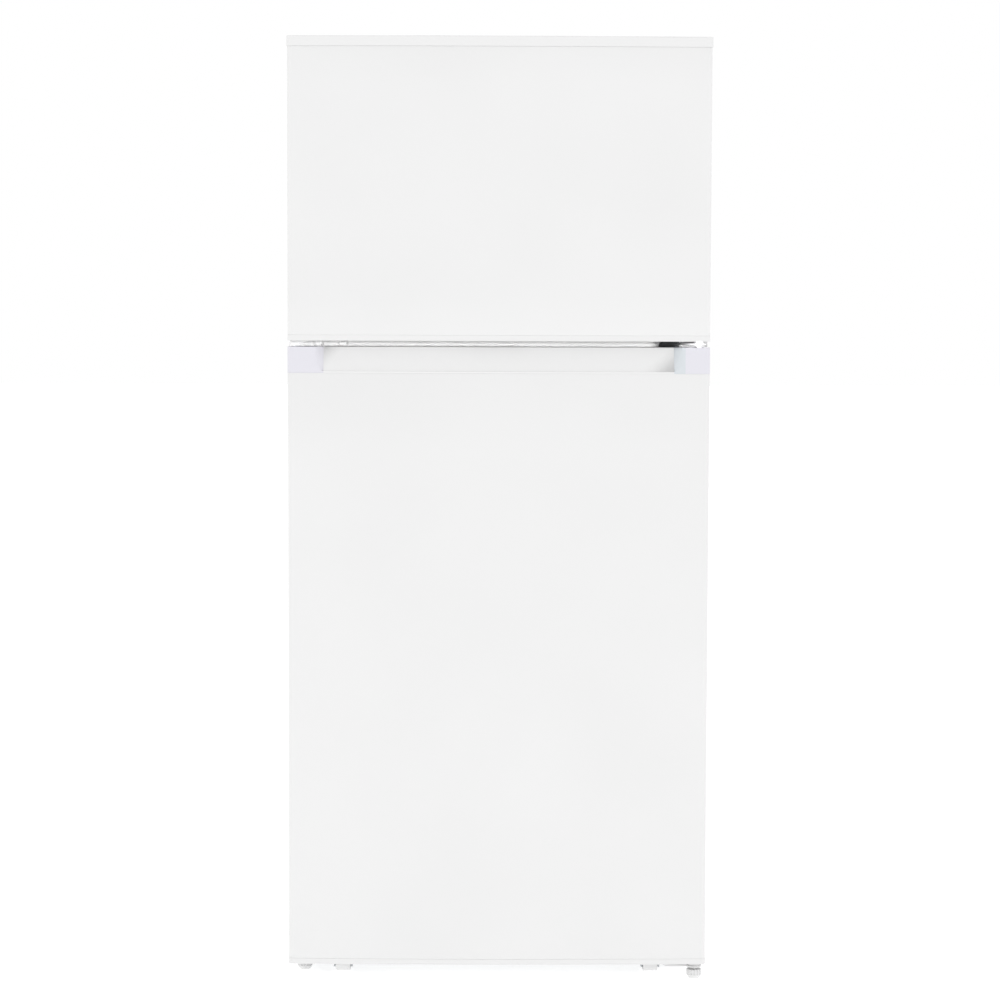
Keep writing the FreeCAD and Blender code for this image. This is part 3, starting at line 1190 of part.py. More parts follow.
def plate_top():
    """Top of the condenser's side plates, where the drain pan stands."""
    return ROW_Z + ROW_RISE * (ROWS - 1) + 14.0


def condenser_fan():
    """Fan between condenser and compressor: its frame stands on the deck."""
    x = (CONDENSER_X[1] + COMP_X - COMP_R) / 2 - 8.0
    y, z, radius = COMP_Y - 22.0, 126.0, 48.0
    frame = box(x - 8, x + 8, y - 54, y + 54, CABINET_BOTTOM, z + 54)
    frame = frame.cut(cyl(radius, 30.0, x - 15, y, z, (1, 0, 0)))
    spider = [box(x - 8, x - 4, y - 52, y + 52, z - 4, z + 4),
              box(x - 8, x - 4, y - 4, y + 4, z - 52, z + 52)]
    motor = cyl(16.0, 8.0, x - 8, y, z, (1, 0, 0))
    shaft = cyl(2.0, 14.0, x - 2, y, z, (1, 0, 0))
    return fused([frame] + spider + [motor, shaft]), (x, y, z, radius)


def condenser_fan_wheel():
    x, y, z, radius = condenser_fan()[1]
    hub = cyl(11.0, 8.0, x + 1.5, y, z, (1, 0, 0))
    blades = []
    for number in range(5):
        blade = Part.makeBox(14.0, 1.6, radius - 12.0, vec(-7.0, -0.8, 8.0))
        blade.rotate(vec(0, 0, 0), vec(0, 0, 1), 50.0)
        blade.rotate(vec(0, 0, 0), vec(1, 0, 0), 72.0 * number)
        blade.translate(vec(x + 5.5, y, z))
        blades.append(blade)
    wheel = fused([hub] + blades)
    keep = cyl(radius - 2.0, 12.0, x - 1.0, y, z, (1, 0, 0))
    return wheel.common(keep).cut(cyl(2.2, 30.0, x - 5, y, z, (1, 0, 0)))


def drain_pan():
    """Tray that catches the defrost water, on top of the condenser's plates."""
    z = plate_top()
    x0, x1 = CONDENSER_X[0] + 10.0, CONDENSER_X[1] - 10.0
    y0, y1 = BAY_FRONT + 10.0, PIPE_Y - DRIER_R - 12.0
    outer = rounded_box(x0, x1, y0, y1, z, z + 26.0, 10.0, (0, 0, 1))
    inner = rounded_box(x0 + 2, x1 - 2, y0 + 2, y1 - 2, z + 2, z + 30.0, 8.0, (0, 0, 1))
    return outer.cut(inner)


GLAND_X = 316.0
GLAND_Z = 200.0
GLAND_BORE = 4.5
GLAND_R = 10.0
COVER_INSET = 2.0


def machine_bay_cover():
    """Pressed steel cover over the bay, with rows of louvres and a hole for the mains inlet."""
    y1 = BACK
    x = CAB_HALF - COVER_INSET
    sheet = box(-x, x, y1 - 1.5, y1, CABINET_BOTTOM + 4.0, BAY_TOP)
    slots = []
    for row in range(9):
        z = CABINET_BOTTOM + 30.0 + row * 21.0
        for x0, x1 in ((-330.0, -190.0), (-170.0, -30.0), (-10.0, 130.0), (150.0, 270.0)):
            slots.append(box(x0, x1, y1 - 3, y1 + 1, z, z + 5.0))
    gland_hole = cyl(GLAND_R - 3.0 + 0.1, 10.0, GLAND_X, y1 - 5, GLAND_Z, (0, 1, 0))
    return holes(sheet, slots + [gland_hole])


def mains_gland():
    """Moulded bush where the mains lead comes in: its bore points straight back."""
    y1 = BACK
    flange = cyl(GLAND_R, 4.0, GLAND_X, y1 - 5.5, GLAND_Z, (0, 1, 0))
    neck = cyl(GLAND_R - 3.0, 12.0, GLAND_X, y1 - 12.0, GLAND_Z, (0, 1, 0))
    return fused([flange, neck]).cut(cyl(GLAND_BORE, 30.0, GLAND_X, y1 - 20, GLAND_Z, (0, 1, 0)))


# ================================================================ feet and rollers
def levelling_foot(x, y, stud_top):
    """Moulded foot with finger ribs, tapered underneath, on a steel stud."""
    pad = Part.makeCone(FOOT_R - 3.5, FOOT_R, 6.0, vec(x, y, 0))
    body = cyl(FOOT_R, FOOT_H - 6.0, x, y, 6.0)
    grooves = []
    count = 16
    for number in range(count):
        angle = 2 * math.pi * number / count
        grooves.append(cyl(1.3, FOOT_H, x + FOOT_R * math.cos(angle), y + FOOT_R * math.sin(angle), 7.0))
    stud = cyl(STUD_R, stud_top - FOOT_H + 2, x, y, FOOT_H - 2)
    return fused([pad, holes(body, grooves), stud])


def roller(x, y, z):
    """Wheel with a bore and a shallow dish in each face."""
    left = x - ROLLER_W / 2
    wheel = cyl(ROLLER_R, ROLLER_W, left, y, z, (1, 0, 0))
    rims = [edge for edge in wheel.Edges if edge.Closed and edge.Curve.TypeId == "Part::GeomCircle"]
    wheel = wheel.makeFillet(2.0, rims)
    dishes = [tube(ROLLER_R - 4.0, 8.0, 3.0, left, y, z, (1, 0, 0)),
              tube(ROLLER_R - 4.0, 8.0, 3.0, left + ROLLER_W - 3.0, y, z, (1, 0, 0))]
    return holes(wheel, dishes + [cyl(AXLE_R + AXLE_CLEAR, ROLLER_W + 2, left - 1, y, z, (1, 0, 0))])


def roller_bracket(x, y, z, y_back, top):
    """Folded steel channel with two cheeks, riveted up to the bottom of the cabinet."""
    half = ROLLER_W / 2 + SIDE_CLEAR
    cheek = [(y - 11.0, z - 9.0), (y + 11.0, z - 9.0), (y_back, top - 4.0), (y_back, top), (y - 15.0, top),
             (y - 15.0, z + 4.0)]
    cheeks = [profile_yz(cheek, x - half - CHEEK_T, x - half),
              profile_yz(cheek, x + half, x + half + CHEEK_T)]
    roof_y = y + ROLLER_R + 2.0
    roof = box(x - half, x + half, roof_y, y_back, top - 3.0, top)
    bores = cyl(AXLE_R, FAR, x - half - CHEEK_T - 1, y, z, (1, 0, 0))
    return fused(cheeks + [roof]).cut(bores)


def axle(x, y, z):
    half = ROLLER_W / 2 + SIDE_CLEAR + CHEEK_T
    pin = cyl(AXLE_R, 2 * half, x - half, y, z, (1, 0, 0))
    heads = [cyl(AXLE_R + 2.0, 1.5, x - half - 1.5, y, z, (1, 0, 0)),
             cyl(AXLE_R + 2.0, 1.5, x + half, y, z, (1, 0, 0))]
    return fused([pin] + heads)


def foot_nut_plate():
    """Bracket on the cabinet's bottom that takes the stud of the left foot."""
    top = CABINET_BOTTOM - SHEET
    strap = box(FOOT_X - 18, FOOT_X + 18, FOOT_Y - 20, FOOT_Y + 30, top - 14.0, top)
    strap = round_edges(strap, 6.0, (0, 0, 1))
    return strap.cut(cyl(STUD_R + STUD_CLEAR, FAR, FOOT_X, FOOT_Y, top - 20))


FRONT_ROLLER_Z = ROLLER_R + ROLLER_LIFT


# ================================================================ all the nodes
def main():
    os.makedirs("parts", exist_ok=True)

    # cabinet
    save("cabinet_wrap", cabinet_wrap())
    save("rear_panel", rear_panel())
    save("base_deck", base_deck(), bay_tray())
    save("cabinet_insulation", cabinet_insulation())
    save("freezer_liner", fused([freezer_liner()] + [rib.cut(freezer_liner()) for rib in freezer_ribs()]))
    save("fridge_liner", fused([fridge_liner()] + [rib.cut(fridge_liner()) for rib in fridge_ribs()]))
    save("mullion_rail", mullion_rail())
    save("hole_plugs", *hole_plugs())

    # hinges
    save("top_hinge", top_hinge())
    save("top_hinge_cover", top_hinge_cover())
    save("centre_hinge", centre_hinge())
    save("door_stop", door_stop())
    save("bottom_hinge", bottom_hinge())
    save("hinge_screws", *hinge_screws())

    # doors
    half, z = FREEZER_RIM
    z0, z1 = FREEZER_DOOR[0] + BOTTOM_CAP_H, FREEZER_DOOR[1] - FREEZER_TOP_CAP_H
    save("freezer_door_skin", door_skin(z0, z1))
    save("freezer_door_liner", door_liner(half, z, z0, z1, FREEZER_BINS))
    save("freezer_door_insulation", door_insulation(half, z, z0 + CAP_PLUG, z1 - CAP_PLUG, []))
    save("freezer_door_top_cap", freezer_door_top_cap())
    save("freezer_door_bottom_cap", freezer_door_bottom_cap())
    save("freezer_door_gasket", gasket(FREEZER_HALF, FREEZER_Z))
    for name, floor, height in FREEZER_BINS:
        save(name, door_bin(half, z, floor, height, FREEZER_BIN_DEPTH))
    half, z = FRIDGE_RIM
    z0, z1 = FRIDGE_DOOR[0] + BOTTOM_CAP_H, FRIDGE_DOOR[1] - BAND_H
    save("fridge_door_skin", door_skin(z0, z1))
    liner_top = FRIDGE_DOOR[1] - BAND_BACK_H
    save("fridge_door_liner", door_liner(half, z, z0, liner_top, FRIDGE_BINS))
    save("fridge_door_insulation", door_insulation(half, z, z0 + CAP_PLUG, liner_top, [band_blank()]))
    save("fridge_door_top_cap", fridge_door_top_cap())
    save("fridge_door_bottom_cap", fridge_door_bottom_cap())
    save("fridge_door_gasket", gasket(FRIDGE_HALF, FRIDGE_Z))
    for name, floor, height in FRIDGE_BINS:
        save(name, door_bin(half, z, floor, height, FRIDGE_BIN_DEPTH))

    # inside the fridge
    shelves = [shelf(z) for z in SHELF_Z] + [crisper_cover()]
    save("shelf_frames", *[frame for frame, pane in shelves])
    save("shelf_glasses", *[pane for frame, pane in shelves])
    save("crisper_drawer_left", crisper_drawer(-1))
    save("crisper_drawer_right", crisper_drawer(1))
    save("control_housing", control_housing())
    save("temperature_knob", temperature_knob())
    holder, bulb = lamp()
    save("fridge_controls", thermostat(), holder, light_switch_body())
    save("lamp_and_lens", light_lens(), bulb)
    save("light_switch_plunger", light_switch_plunger())

    # inside the freezer
    save("freezer_shelf", freezer_shelf())
    save("evaporator_cover", evaporator_cover(), air_duct())
    save("freezer_air_slider", freezer_air_slider())
    save("evaporator_fan", evaporator_fan())
    save("evaporator", evaporator_tube(), *evaporator_fins())

    # machine bay
    save("compressor", compressor())
    grommets, bolts = compressor_grommets()
    save("compressor_mounts", *(grommets + bolts + [relay_cover()]))
    save("condenser", condenser(), *refrigerant_tubes())
    save("fan_motors", fan_motor(), condenser_fan()[0])
    save("condenser_fan", condenser_fan_wheel())
    save("drain_pan", drain_pan())
    save("machine_bay_cover", machine_bay_cover())
    save("mains_gland", mains_gland())

    # feet and rollers
    save("levelling_foot_left", levelling_foot(FOOT_X, FOOT_Y, CABINET_BOTTOM - SHEET - 0.3))
    save("levelling_foot_right", levelling_foot(PIVOT_X, PIVOT_Y, FRIDGE_DOOR[0] - STUD_UNDER_DOOR))
    belly, deck = CABINET_BOTTOM - SHEET, CABINET_BOTTOM - DECK_T
    places = (("front_roller_left", -ROLLER_X, FRONT_ROLLER_Y, FRONT_ROLLER_Z, belly),
              ("front_roller_right", ROLLER_X, FRONT_ROLLER_Y, FRONT_ROLLER_Z, belly),
              ("rear_roller_left", -REAR_ROLLER_X, REAR_ROLLER_Y, ROLLER_R, deck),
              ("rear_roller_right", REAR_ROLLER_X, REAR_ROLLER_Y, ROLLER_R, deck))
    brackets = [foot_nut_plate()]
    for name, x, y, z, top in places:
        save(name, roller(x, y, z))
        brackets += [roller_bracket(x, y, z, y + 34.0, top), axle(x, y, z)]
    save("roller_brackets", *brackets)


main()
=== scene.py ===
# %% [markdown]
# # A white top freezer refrigerator
#
# This lesson dresses a refrigerator whose structure already exists as a CAD frame. The frame says
# where every part is and how it moves. Here each visible part gets the surface of the real thing:
# baked enamel on pressed steel, moulded white plastic, soft vinyl seals, clear trays and bare metal.
# A white object on a white ground is a lesson in restraint: what makes it read are thin shadow
# lines, soft radii and very small differences in tone.

import json
import math

import bmesh
import bpy
from mathutils import Matrix, Vector
from mathutils.bvhtree import BVHTree

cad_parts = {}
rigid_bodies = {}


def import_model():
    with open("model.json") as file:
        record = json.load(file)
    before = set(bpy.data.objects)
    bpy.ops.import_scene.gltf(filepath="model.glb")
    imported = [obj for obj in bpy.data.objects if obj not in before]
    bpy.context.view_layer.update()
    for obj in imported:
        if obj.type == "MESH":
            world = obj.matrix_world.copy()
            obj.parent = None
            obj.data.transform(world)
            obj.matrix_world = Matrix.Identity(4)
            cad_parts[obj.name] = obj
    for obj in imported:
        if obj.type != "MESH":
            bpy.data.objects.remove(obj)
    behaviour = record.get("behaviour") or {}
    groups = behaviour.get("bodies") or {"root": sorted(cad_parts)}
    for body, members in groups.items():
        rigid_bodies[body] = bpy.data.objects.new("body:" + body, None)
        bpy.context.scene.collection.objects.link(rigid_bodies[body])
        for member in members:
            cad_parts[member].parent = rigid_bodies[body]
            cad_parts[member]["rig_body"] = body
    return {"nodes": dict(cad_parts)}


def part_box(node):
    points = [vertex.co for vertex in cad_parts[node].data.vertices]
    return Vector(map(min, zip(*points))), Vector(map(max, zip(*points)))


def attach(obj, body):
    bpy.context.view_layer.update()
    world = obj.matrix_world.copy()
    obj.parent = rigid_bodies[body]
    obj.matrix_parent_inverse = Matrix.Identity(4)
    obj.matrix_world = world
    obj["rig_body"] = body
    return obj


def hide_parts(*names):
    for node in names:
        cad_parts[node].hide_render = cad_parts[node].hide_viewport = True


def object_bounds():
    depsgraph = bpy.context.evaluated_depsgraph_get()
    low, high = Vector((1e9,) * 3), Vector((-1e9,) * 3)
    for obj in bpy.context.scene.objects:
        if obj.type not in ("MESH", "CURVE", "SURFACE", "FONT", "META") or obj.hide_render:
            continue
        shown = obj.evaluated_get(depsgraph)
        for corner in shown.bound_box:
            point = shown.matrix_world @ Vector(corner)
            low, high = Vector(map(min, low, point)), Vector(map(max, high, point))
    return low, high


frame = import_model()
CAD_LOW, CAD_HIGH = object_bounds()
MM = 0.001
print("frame is", [round(side, 3) for side in CAD_HIGH - CAD_LOW], "m")

# %% [markdown]
# ## The camera
#
# The product view is taken from a long way off with a long lens, so that the doors stay almost
# square. The eye is a little above the middle of the object and looks slightly down. Both the
# distance and the lens were found together: nearer cameras spread the two feet too far apart.


# %% Camera
def aim_camera(place, yaw, pitch, roll, lens):
    """A camera that looks along +Y, turned by three small angles in radians."""
    data = bpy.data.cameras.new("product_camera")
    data.lens = lens
    data.sensor_width = 36.0
    camera = bpy.data.objects.new("product_camera", data)
    camera.location = place
    level = Matrix.Rotation(math.radians(90), 4, "X")
    turn = Matrix.Rotation(yaw, 4, "Z") @ Matrix.Rotation(-pitch, 4, "X") @ level
    camera.rotation_euler = (turn @ Matrix.Rotation(roll, 4, "Z")).to_euler()
    bpy.context.scene.collection.objects.link(camera)
    bpy.context.scene.camera = camera
    return camera


CAMERA_PLACE = (-0.037, -5.601, 1.254)
CAMERA_YAW, CAMERA_PITCH, CAMERA_ROLL = -0.0076, 0.0740, 0.0033
LENS_MM = 106.4

camera = aim_camera(CAMERA_PLACE, CAMERA_YAW, CAMERA_PITCH, CAMERA_ROLL, LENS_MM)
print("camera stands", round(camera.location.y, 2), "m in front, lens", camera.data.lens, "mm")

# %% [markdown]
# ## Studio
#
# A white seamless floor and an even white sky give the high-key look. One broad lamp above and to
# the left puts a slow gradient on the doors, and a weaker one on the right keeps the side of the
# cabinet open. Nothing is hard-edged, because enamel shows every edge of a lamp.


# %% Stage and lights
def plane(name, size, place):
    mesh = bpy.data.meshes.new(name)
    form = bmesh.new()
    bmesh.ops.create_grid(form, x_segments=1, y_segments=1, size=size / 2)
    form.to_mesh(mesh)
    form.free()
    obj = bpy.data.objects.new(name, mesh)
    obj.location = place
    bpy.context.scene.collection.objects.link(obj)
    return obj


floor = plane("studio_floor", 60.0, (0, 0, 0))


def area_lamp(name, place, target, width, height, watts, tint=(1, 1, 1)):
    data = bpy.data.lights.new(name, "AREA")
    data.shape = "RECTANGLE"
    data.size = width
    data.size_y = height
    data.energy = watts
    data.color = tint
    lamp = bpy.data.objects.new(name, data)
    lamp.location = place
    lamp.rotation_euler = (Vector(target) - Vector(place)).to_track_quat("-Z", "Y").to_euler()
    bpy.context.scene.collection.objects.link(lamp)
    return lamp


MIDDLE = (CAD_LOW + CAD_HIGH) / 2
area_lamp("key_softbox", (-2.6, -3.6, 3.4), MIDDLE, 2.4, 2.4, 9.0)
area_lamp("fill_softbox", (3.4, -3.0, 1.8), MIDDLE, 2.2, 2.6, 5.0)
area_lamp("top_softbox", (0.0, 0.6, 4.2), MIDDLE, 3.0, 3.0, 3.0)

# %% [markdown]
# The slot between the two doors is only a finger wide and several fingers deep, so hardly any of
# the sky reaches the white rail behind it. Two hidden strip lamps light it: one along the rail, and
# one past the door stop for the hinge. Each is a few millimetres tall, faces backwards and is
# hidden from the camera. They sit low in the slot, so the upper door still throws its shadow line.

# %% Slot strips
RAIL_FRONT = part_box("mullion_rail")[0].y
BAND_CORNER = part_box("fridge_door_top_cap")[1]
STOP_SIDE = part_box("door_stop")[0].x
SLOT_FLOOR = BAND_CORNER.z
SLOT_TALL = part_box("freezer_door_bottom_cap")[0].z - SLOT_FLOOR
STRIP_HEIGHT = 3 * MM
STRIP_RISE = 0.28
STRIP_SPREAD = math.radians(115)
RAIL_WATTS_PER_METRE = 0.036
HINGE_WATTS_PER_METRE = 0.13


def slot_strip(name, left, right, y, watts_per_metre):
    """A strip lamp in the slot, from one x to another, that only what stands behind it can see."""
    middle = Vector(((left + right) / 2, y, SLOT_FLOOR + STRIP_RISE * SLOT_TALL))
    length = right - left
    strip = area_lamp(name, middle, middle + Vector((0, 1, 0)), length, STRIP_HEIGHT,
                      watts_per_metre * length)
    strip.data.spread = STRIP_SPREAD
    strip.visible_camera = False


slot_strip("slot_strip_rail", CAD_LOW.x, STOP_SIDE - 4 * MM, RAIL_FRONT - 14 * MM, RAIL_WATTS_PER_METRE)
slot_strip("slot_strip_hinge", STOP_SIDE + 38 * MM, BAND_CORNER.x, BAND_CORNER.y - 44 * MM,
           HINGE_WATTS_PER_METRE)
print("slot is", round(SLOT_TALL / MM, 1), "mm tall")

world = bpy.data.worlds.new("white_studio")
bpy.context.scene.world = world
world.use_nodes = True
sky = world.node_tree.nodes["Background"]
sky.inputs["Color"].default_value = (1.0, 1.0, 1.0, 1.0)
sky.inputs["Strength"].default_value = 1.0
bpy.context.scene.view_settings.view_transform = "Standard"
bpy.context.scene.view_settings.look = "None"

# %% [markdown]
# ## Materials
#
# Each finish starts from a Principled shader. `hex_colour` turns an sRGB value into the linear one
# that the shader wants, and `add` places one node, sets it and links it, so that a recipe reads
# from top to bottom. Patterns use Object coordinates, which are metres here, so a scale of 1000
# per metre divided by a size in millimetres gives the real grain.


# %% Material helpers
def hex_colour(text, alpha=1.0):
    """sRGB hex to a linear colour."""
    values = [int(text[start:start + 2], 16) / 255 for start in (0, 2, 4)]
    linear = [v / 12.92 if v <= 0.04045 else ((v + 0.055) / 1.055) ** 2.4 for v in values]
    return (*linear, alpha)


def per_mm(size):
    """Texture scale at which one cell is that many millimetres."""
    return 1000.0 / size


def add(tree, kind, links=None, **settings):
    """Add a node; settings are attributes or input values, links join sockets."""
    node = tree.nodes.new(kind)
    for key, value in settings.items():
        if hasattr(node, key):
            setattr(node, key, value)
        else:
            node.inputs[key.replace("_", " ")].default_value = value
    for socket, source in (links or {}).items():
        tree.links.new(source, node.inputs[socket])
    return node


def new_material(name, colour, roughness, **settings):
    """A Principled material; other settings go straight to its sockets."""
    material = bpy.data.materials.new(name)
    material.use_nodes = True
    shader = material.node_tree.nodes["Principled BSDF"]
    shader.inputs["Base Color"].default_value = hex_colour(colour)
    shader.inputs["Roughness"].default_value = roughness
    for key, value in settings.items():
        shader.inputs[key.replace("_", " ")].default_value = value
    return material, material.node_tree, shader


def set_ramp(node, low, dark, high, light):
    """Give a colour ramp its two stops, as places from 0 to 1 and hex colours."""
    stops = node.color_ramp.elements
    stops[0].position = low
    stops[0].color = hex_colour(dark)
    stops[1].position = high
    stops[1].color = hex_colour(light)
    return node.outputs["Color"]


# %% [markdown]
# ### White baked enamel
#
# The doors and the cabinet are sheet steel, sprayed and baked. Paint that flows before it sets
# keeps a faint orange peel: lumps a few millimetres across and only microns high. It bends
# reflections without showing as a texture. Enamel has a clear gloss over a white body, so a thin
# coat sits on a rougher base.


# %% Enamel and its stage
def baked_enamel(name, colour, shade):
    material, tree, shader = new_material(name, colour, 0.34, IOR=1.5, Coat_Weight=0.35,
                                          Coat_Roughness=0.16, Coat_IOR=1.5)
    place = add(tree, "ShaderNodeTexCoord").outputs["Object"]
    peel = add(tree, "ShaderNodeTexNoise", {"Vector": place}, Scale=per_mm(4.5), Detail=1.0)
    relief = add(tree, "ShaderNodeBump", {"Height": peel.outputs["Fac"]}, Distance=0.02 * MM, Strength=0.35)
    cloud = add(tree, "ShaderNodeTexNoise", {"Vector": place}, Scale=per_mm(240.0), Detail=1.0)
    body = add(tree, "ShaderNodeValToRGB", {"Fac": cloud.outputs["Fac"]})
    dust = add(tree, "ShaderNodeTexNoise", {"Vector": place}, Scale=per_mm(1.2), Detail=2.0)
    dull = add(tree, "ShaderNodeMapRange", {"Value": dust.outputs["Fac"]}, To_Min=0.30, To_Max=0.38)
    tree.links.new(relief.outputs["Normal"], shader.inputs["Normal"])
    tree.links.new(set_ramp(body, 0.3, shade, 0.7, colour), shader.inputs["Base Color"])
    tree.links.new(dull.outputs["Result"], shader.inputs["Roughness"])
    return material


ENAMEL = baked_enamel("white_baked_enamel", "DFDFDF", "DDDDDD")
CABINET_ENAMEL = baked_enamel("white_cabinet_enamel", "D6D6D6", "D3D3D3")

floor_material, _, floor_shader = new_material("white_paper_sweep", "C4C4C4", 0.9)
floor_shader.inputs["Emission Color"].default_value = (1, 1, 1, 1)
floor_shader.inputs["Emission Strength"].default_value = 0.75
floor.data.materials.append(floor_material)


# %% [markdown]
# ### White moulded plastics
#
# The door ends are ABS with a fine spark-eroded grain that takes the shine off. The handle band
# is a slightly cooler, greyer white than the steel beside it, which is how it shows as a band at
# all. The liners are thin polystyrene sheet, drawn over a form while hot: glossy, with a slow
# waviness where the sheet stretched.


# %% Plastics
def moulded_plastic(name, colour, roughness, grain_mm=0.6, depth_mm=0.015, **settings):
    material, tree, shader = new_material(name, colour, roughness, IOR=1.53, **settings)
    place = add(tree, "ShaderNodeTexCoord").outputs["Object"]
    skin = add(tree, "ShaderNodeTexNoise", {"Vector": place}, Scale=per_mm(grain_mm), Detail=2.0)
    relief = add(tree, "ShaderNodeBump", {"Height": skin.outputs["Fac"]}, Distance=depth_mm * MM,
                 Strength=0.5)
    smear = add(tree, "ShaderNodeTexNoise", {"Vector": place}, Scale=per_mm(35.0), Detail=3.0)
    dull = add(tree, "ShaderNodeMapRange", {"Value": smear.outputs["Fac"]}, To_Min=roughness - 0.05,
               To_Max=roughness + 0.06)
    tree.links.new(relief.outputs["Normal"], shader.inputs["Normal"])
    tree.links.new(dull.outputs["Result"], shader.inputs["Roughness"])
    return material


def formed_liner(name, colour, shade):
    material, tree, shader = new_material(name, colour, 0.22, IOR=1.59, Subsurface_Weight=0.08,
                                          Subsurface_Scale=0.004)
    place = add(tree, "ShaderNodeTexCoord").outputs["Object"]
    drawn = add(tree, "ShaderNodeTexNoise", {"Vector": place}, Scale=per_mm(26.0), Detail=1.5)
    relief = add(tree, "ShaderNodeBump", {"Height": drawn.outputs["Fac"]}, Distance=0.05 * MM, Strength=0.4)
    body = add(tree, "ShaderNodeValToRGB", {"Fac": drawn.outputs["Fac"]})
    tree.links.new(relief.outputs["Normal"], shader.inputs["Normal"])
    tree.links.new(set_ramp(body, 0.3, shade, 0.7, colour), shader.inputs["Base Color"])
    return material


CAP_PLASTIC = moulded_plastic("white_abs_moulding", "DEDEDE", 0.42)
BAND_PLASTIC = moulded_plastic("cool_white_abs_moulding", "E0E0E0", 0.44)
# Painted reflection: the band's end lengths take a darker, lilac white.
BAND_END_PAINTED_REFLECTION = moulded_plastic("abs_with_painted_lilac_reflection", "D6D5DC", 0.44)
# Painted shade with a cool painted reflection: the hinge-side slope takes a darker blue-grey.
BAND_SLOPE_PAINTED_SHADE = moulded_plastic("abs_with_painted_blue_grey_shade", "CCD1D5", 0.44)
LINER_SHEET = formed_liner("vacuum_formed_polystyrene", "EEEFEF", "EBECEC")
SHELF_PLASTIC = moulded_plastic("satin_white_polypropylene", "E9EBEC", 0.42)
KNOB_PLASTIC = moulded_plastic("light_grey_abs", "D4D6D9", 0.38)
BLACK_PLASTIC = moulded_plastic("black_glass_filled_nylon", "17181A", 0.52, 0.9, 0.03)
NYLON = moulded_plastic("natural_white_nylon", "DEDEDE", 0.44, 0.8, 0.02)
VINYL = moulded_plastic("soft_white_vinyl", "E4E4E2", 0.50, 1.5, 0.02, Subsurface_Weight=0.1,
                        Subsurface_Scale=0.003)


# %% [markdown]
# ### Clear plastic and glass
#
# Crisper drawers and door bins are injection moulded polystyrene: clear, with a faint blue cast
# and a soft surface from the tool. Shelf glass is tempered float glass with a green cast. Their
# walls are so thin that they bend no light to speak of, so the shader lets light straight through
# with Alpha and keeps a glossy coat, which is also quick to render and survives an export.


# %% Clear materials
def clear_sheet(name, colour, roughness, solid, ior):
    """A thin clear wall: light passes straight on, and solid is the share that it stops."""
    material, tree, shader = new_material(name, colour, roughness, IOR=ior, Alpha=solid, Coat_Weight=0.6,
                                          Coat_Roughness=0.04)
    place = add(tree, "ShaderNodeTexCoord").outputs["Object"]
    flow = add(tree, "ShaderNodeTexNoise", {"Vector": place}, Scale=per_mm(60.0), Detail=2.0)
    relief = add(tree, "ShaderNodeBump", {"Height": flow.outputs["Fac"]}, Distance=0.25 * MM, Strength=0.3)
    dull = add(tree, "ShaderNodeMapRange", {"Value": flow.outputs["Fac"]}, To_Min=roughness - 0.02,
               To_Max=roughness + 0.05)
    tree.links.new(relief.outputs["Normal"], shader.inputs["Normal"])
    tree.links.new(dull.outputs["Result"], shader.inputs["Roughness"])
    return material


CLEAR_TRAY = clear_sheet("clear_polystyrene", "E3ECF1", 0.08, 0.26, 1.59)
FLOAT_GLASS = clear_sheet("tempered_float_glass", "CFE3DA", 0.04, 0.30, 1.52)
FROSTED = clear_sheet("frosted_lens_acrylic", "F4F6F6", 0.35, 0.75, 1.49)


# %% [markdown]
# ### Metals
#
# Galvanised sheet has a spangle: zinc crystals a centimetre or so wide that catch the light at
# different angles. A Voronoi cell pattern drives both tone and roughness for it. Plated brackets
# are finer and brighter, and rolled aluminium and drawn copper are streaked along their length.


# %% Metal recipes
def galvanised(name, colour, shade, spangle_mm):
    material, tree, shader = new_material(name, colour, 0.42, Metallic=1.0)
    place = add(tree, "ShaderNodeTexCoord").outputs["Object"]
    cells = add(tree, "ShaderNodeTexVoronoi", {"Vector": place}, Scale=per_mm(spangle_mm))
    facet = add(tree, "ShaderNodeSeparateColor", {"Color": cells.outputs["Color"]}).outputs["Red"]
    body = add(tree, "ShaderNodeValToRGB", {"Fac": facet})
    dull = add(tree, "ShaderNodeMapRange", {"Value": facet}, To_Min=0.34, To_Max=0.55)
    frost = add(tree, "ShaderNodeTexNoise", {"Vector": place}, Scale=per_mm(0.8), Detail=3.0)
    relief = add(tree, "ShaderNodeBump", {"Height": frost.outputs["Fac"]}, Distance=0.01 * MM, Strength=0.4)
    tree.links.new(set_ramp(body, 0.0, shade, 1.0, colour), shader.inputs["Base Color"])
    tree.links.new(dull.outputs["Result"], shader.inputs["Roughness"])
    tree.links.new(relief.outputs["Normal"], shader.inputs["Normal"])
    return material


def drawn_metal(name, colour, shade, roughness, stretch):
    """Fine scratches that run along one axis: the stretched axis gets a small scale."""
    material, tree, shader = new_material(name, colour, roughness, Metallic=1.0)
    place = add(tree, "ShaderNodeTexCoord").outputs["Object"]
    mapping = add(tree, "ShaderNodeMapping", {"Vector": place}, Scale=stretch)
    lines = add(tree, "ShaderNodeTexNoise", {"Vector": mapping.outputs["Vector"]}, Scale=per_mm(1.0),
                Detail=3.0)
    body = add(tree, "ShaderNodeValToRGB", {"Fac": lines.outputs["Fac"]})
    dull = add(tree, "ShaderNodeMapRange", {"Value": lines.outputs["Fac"]}, To_Min=roughness - 0.06,
               To_Max=roughness + 0.1)
    relief = add(tree, "ShaderNodeBump", {"Height": lines.outputs["Fac"]}, Distance=0.01 * MM, Strength=0.4)
    tree.links.new(set_ramp(body, 0.3, shade, 0.7, colour), shader.inputs["Base Color"])
    tree.links.new(dull.outputs["Result"], shader.inputs["Roughness"])
    tree.links.new(relief.outputs["Normal"], shader.inputs["Normal"])
    return material


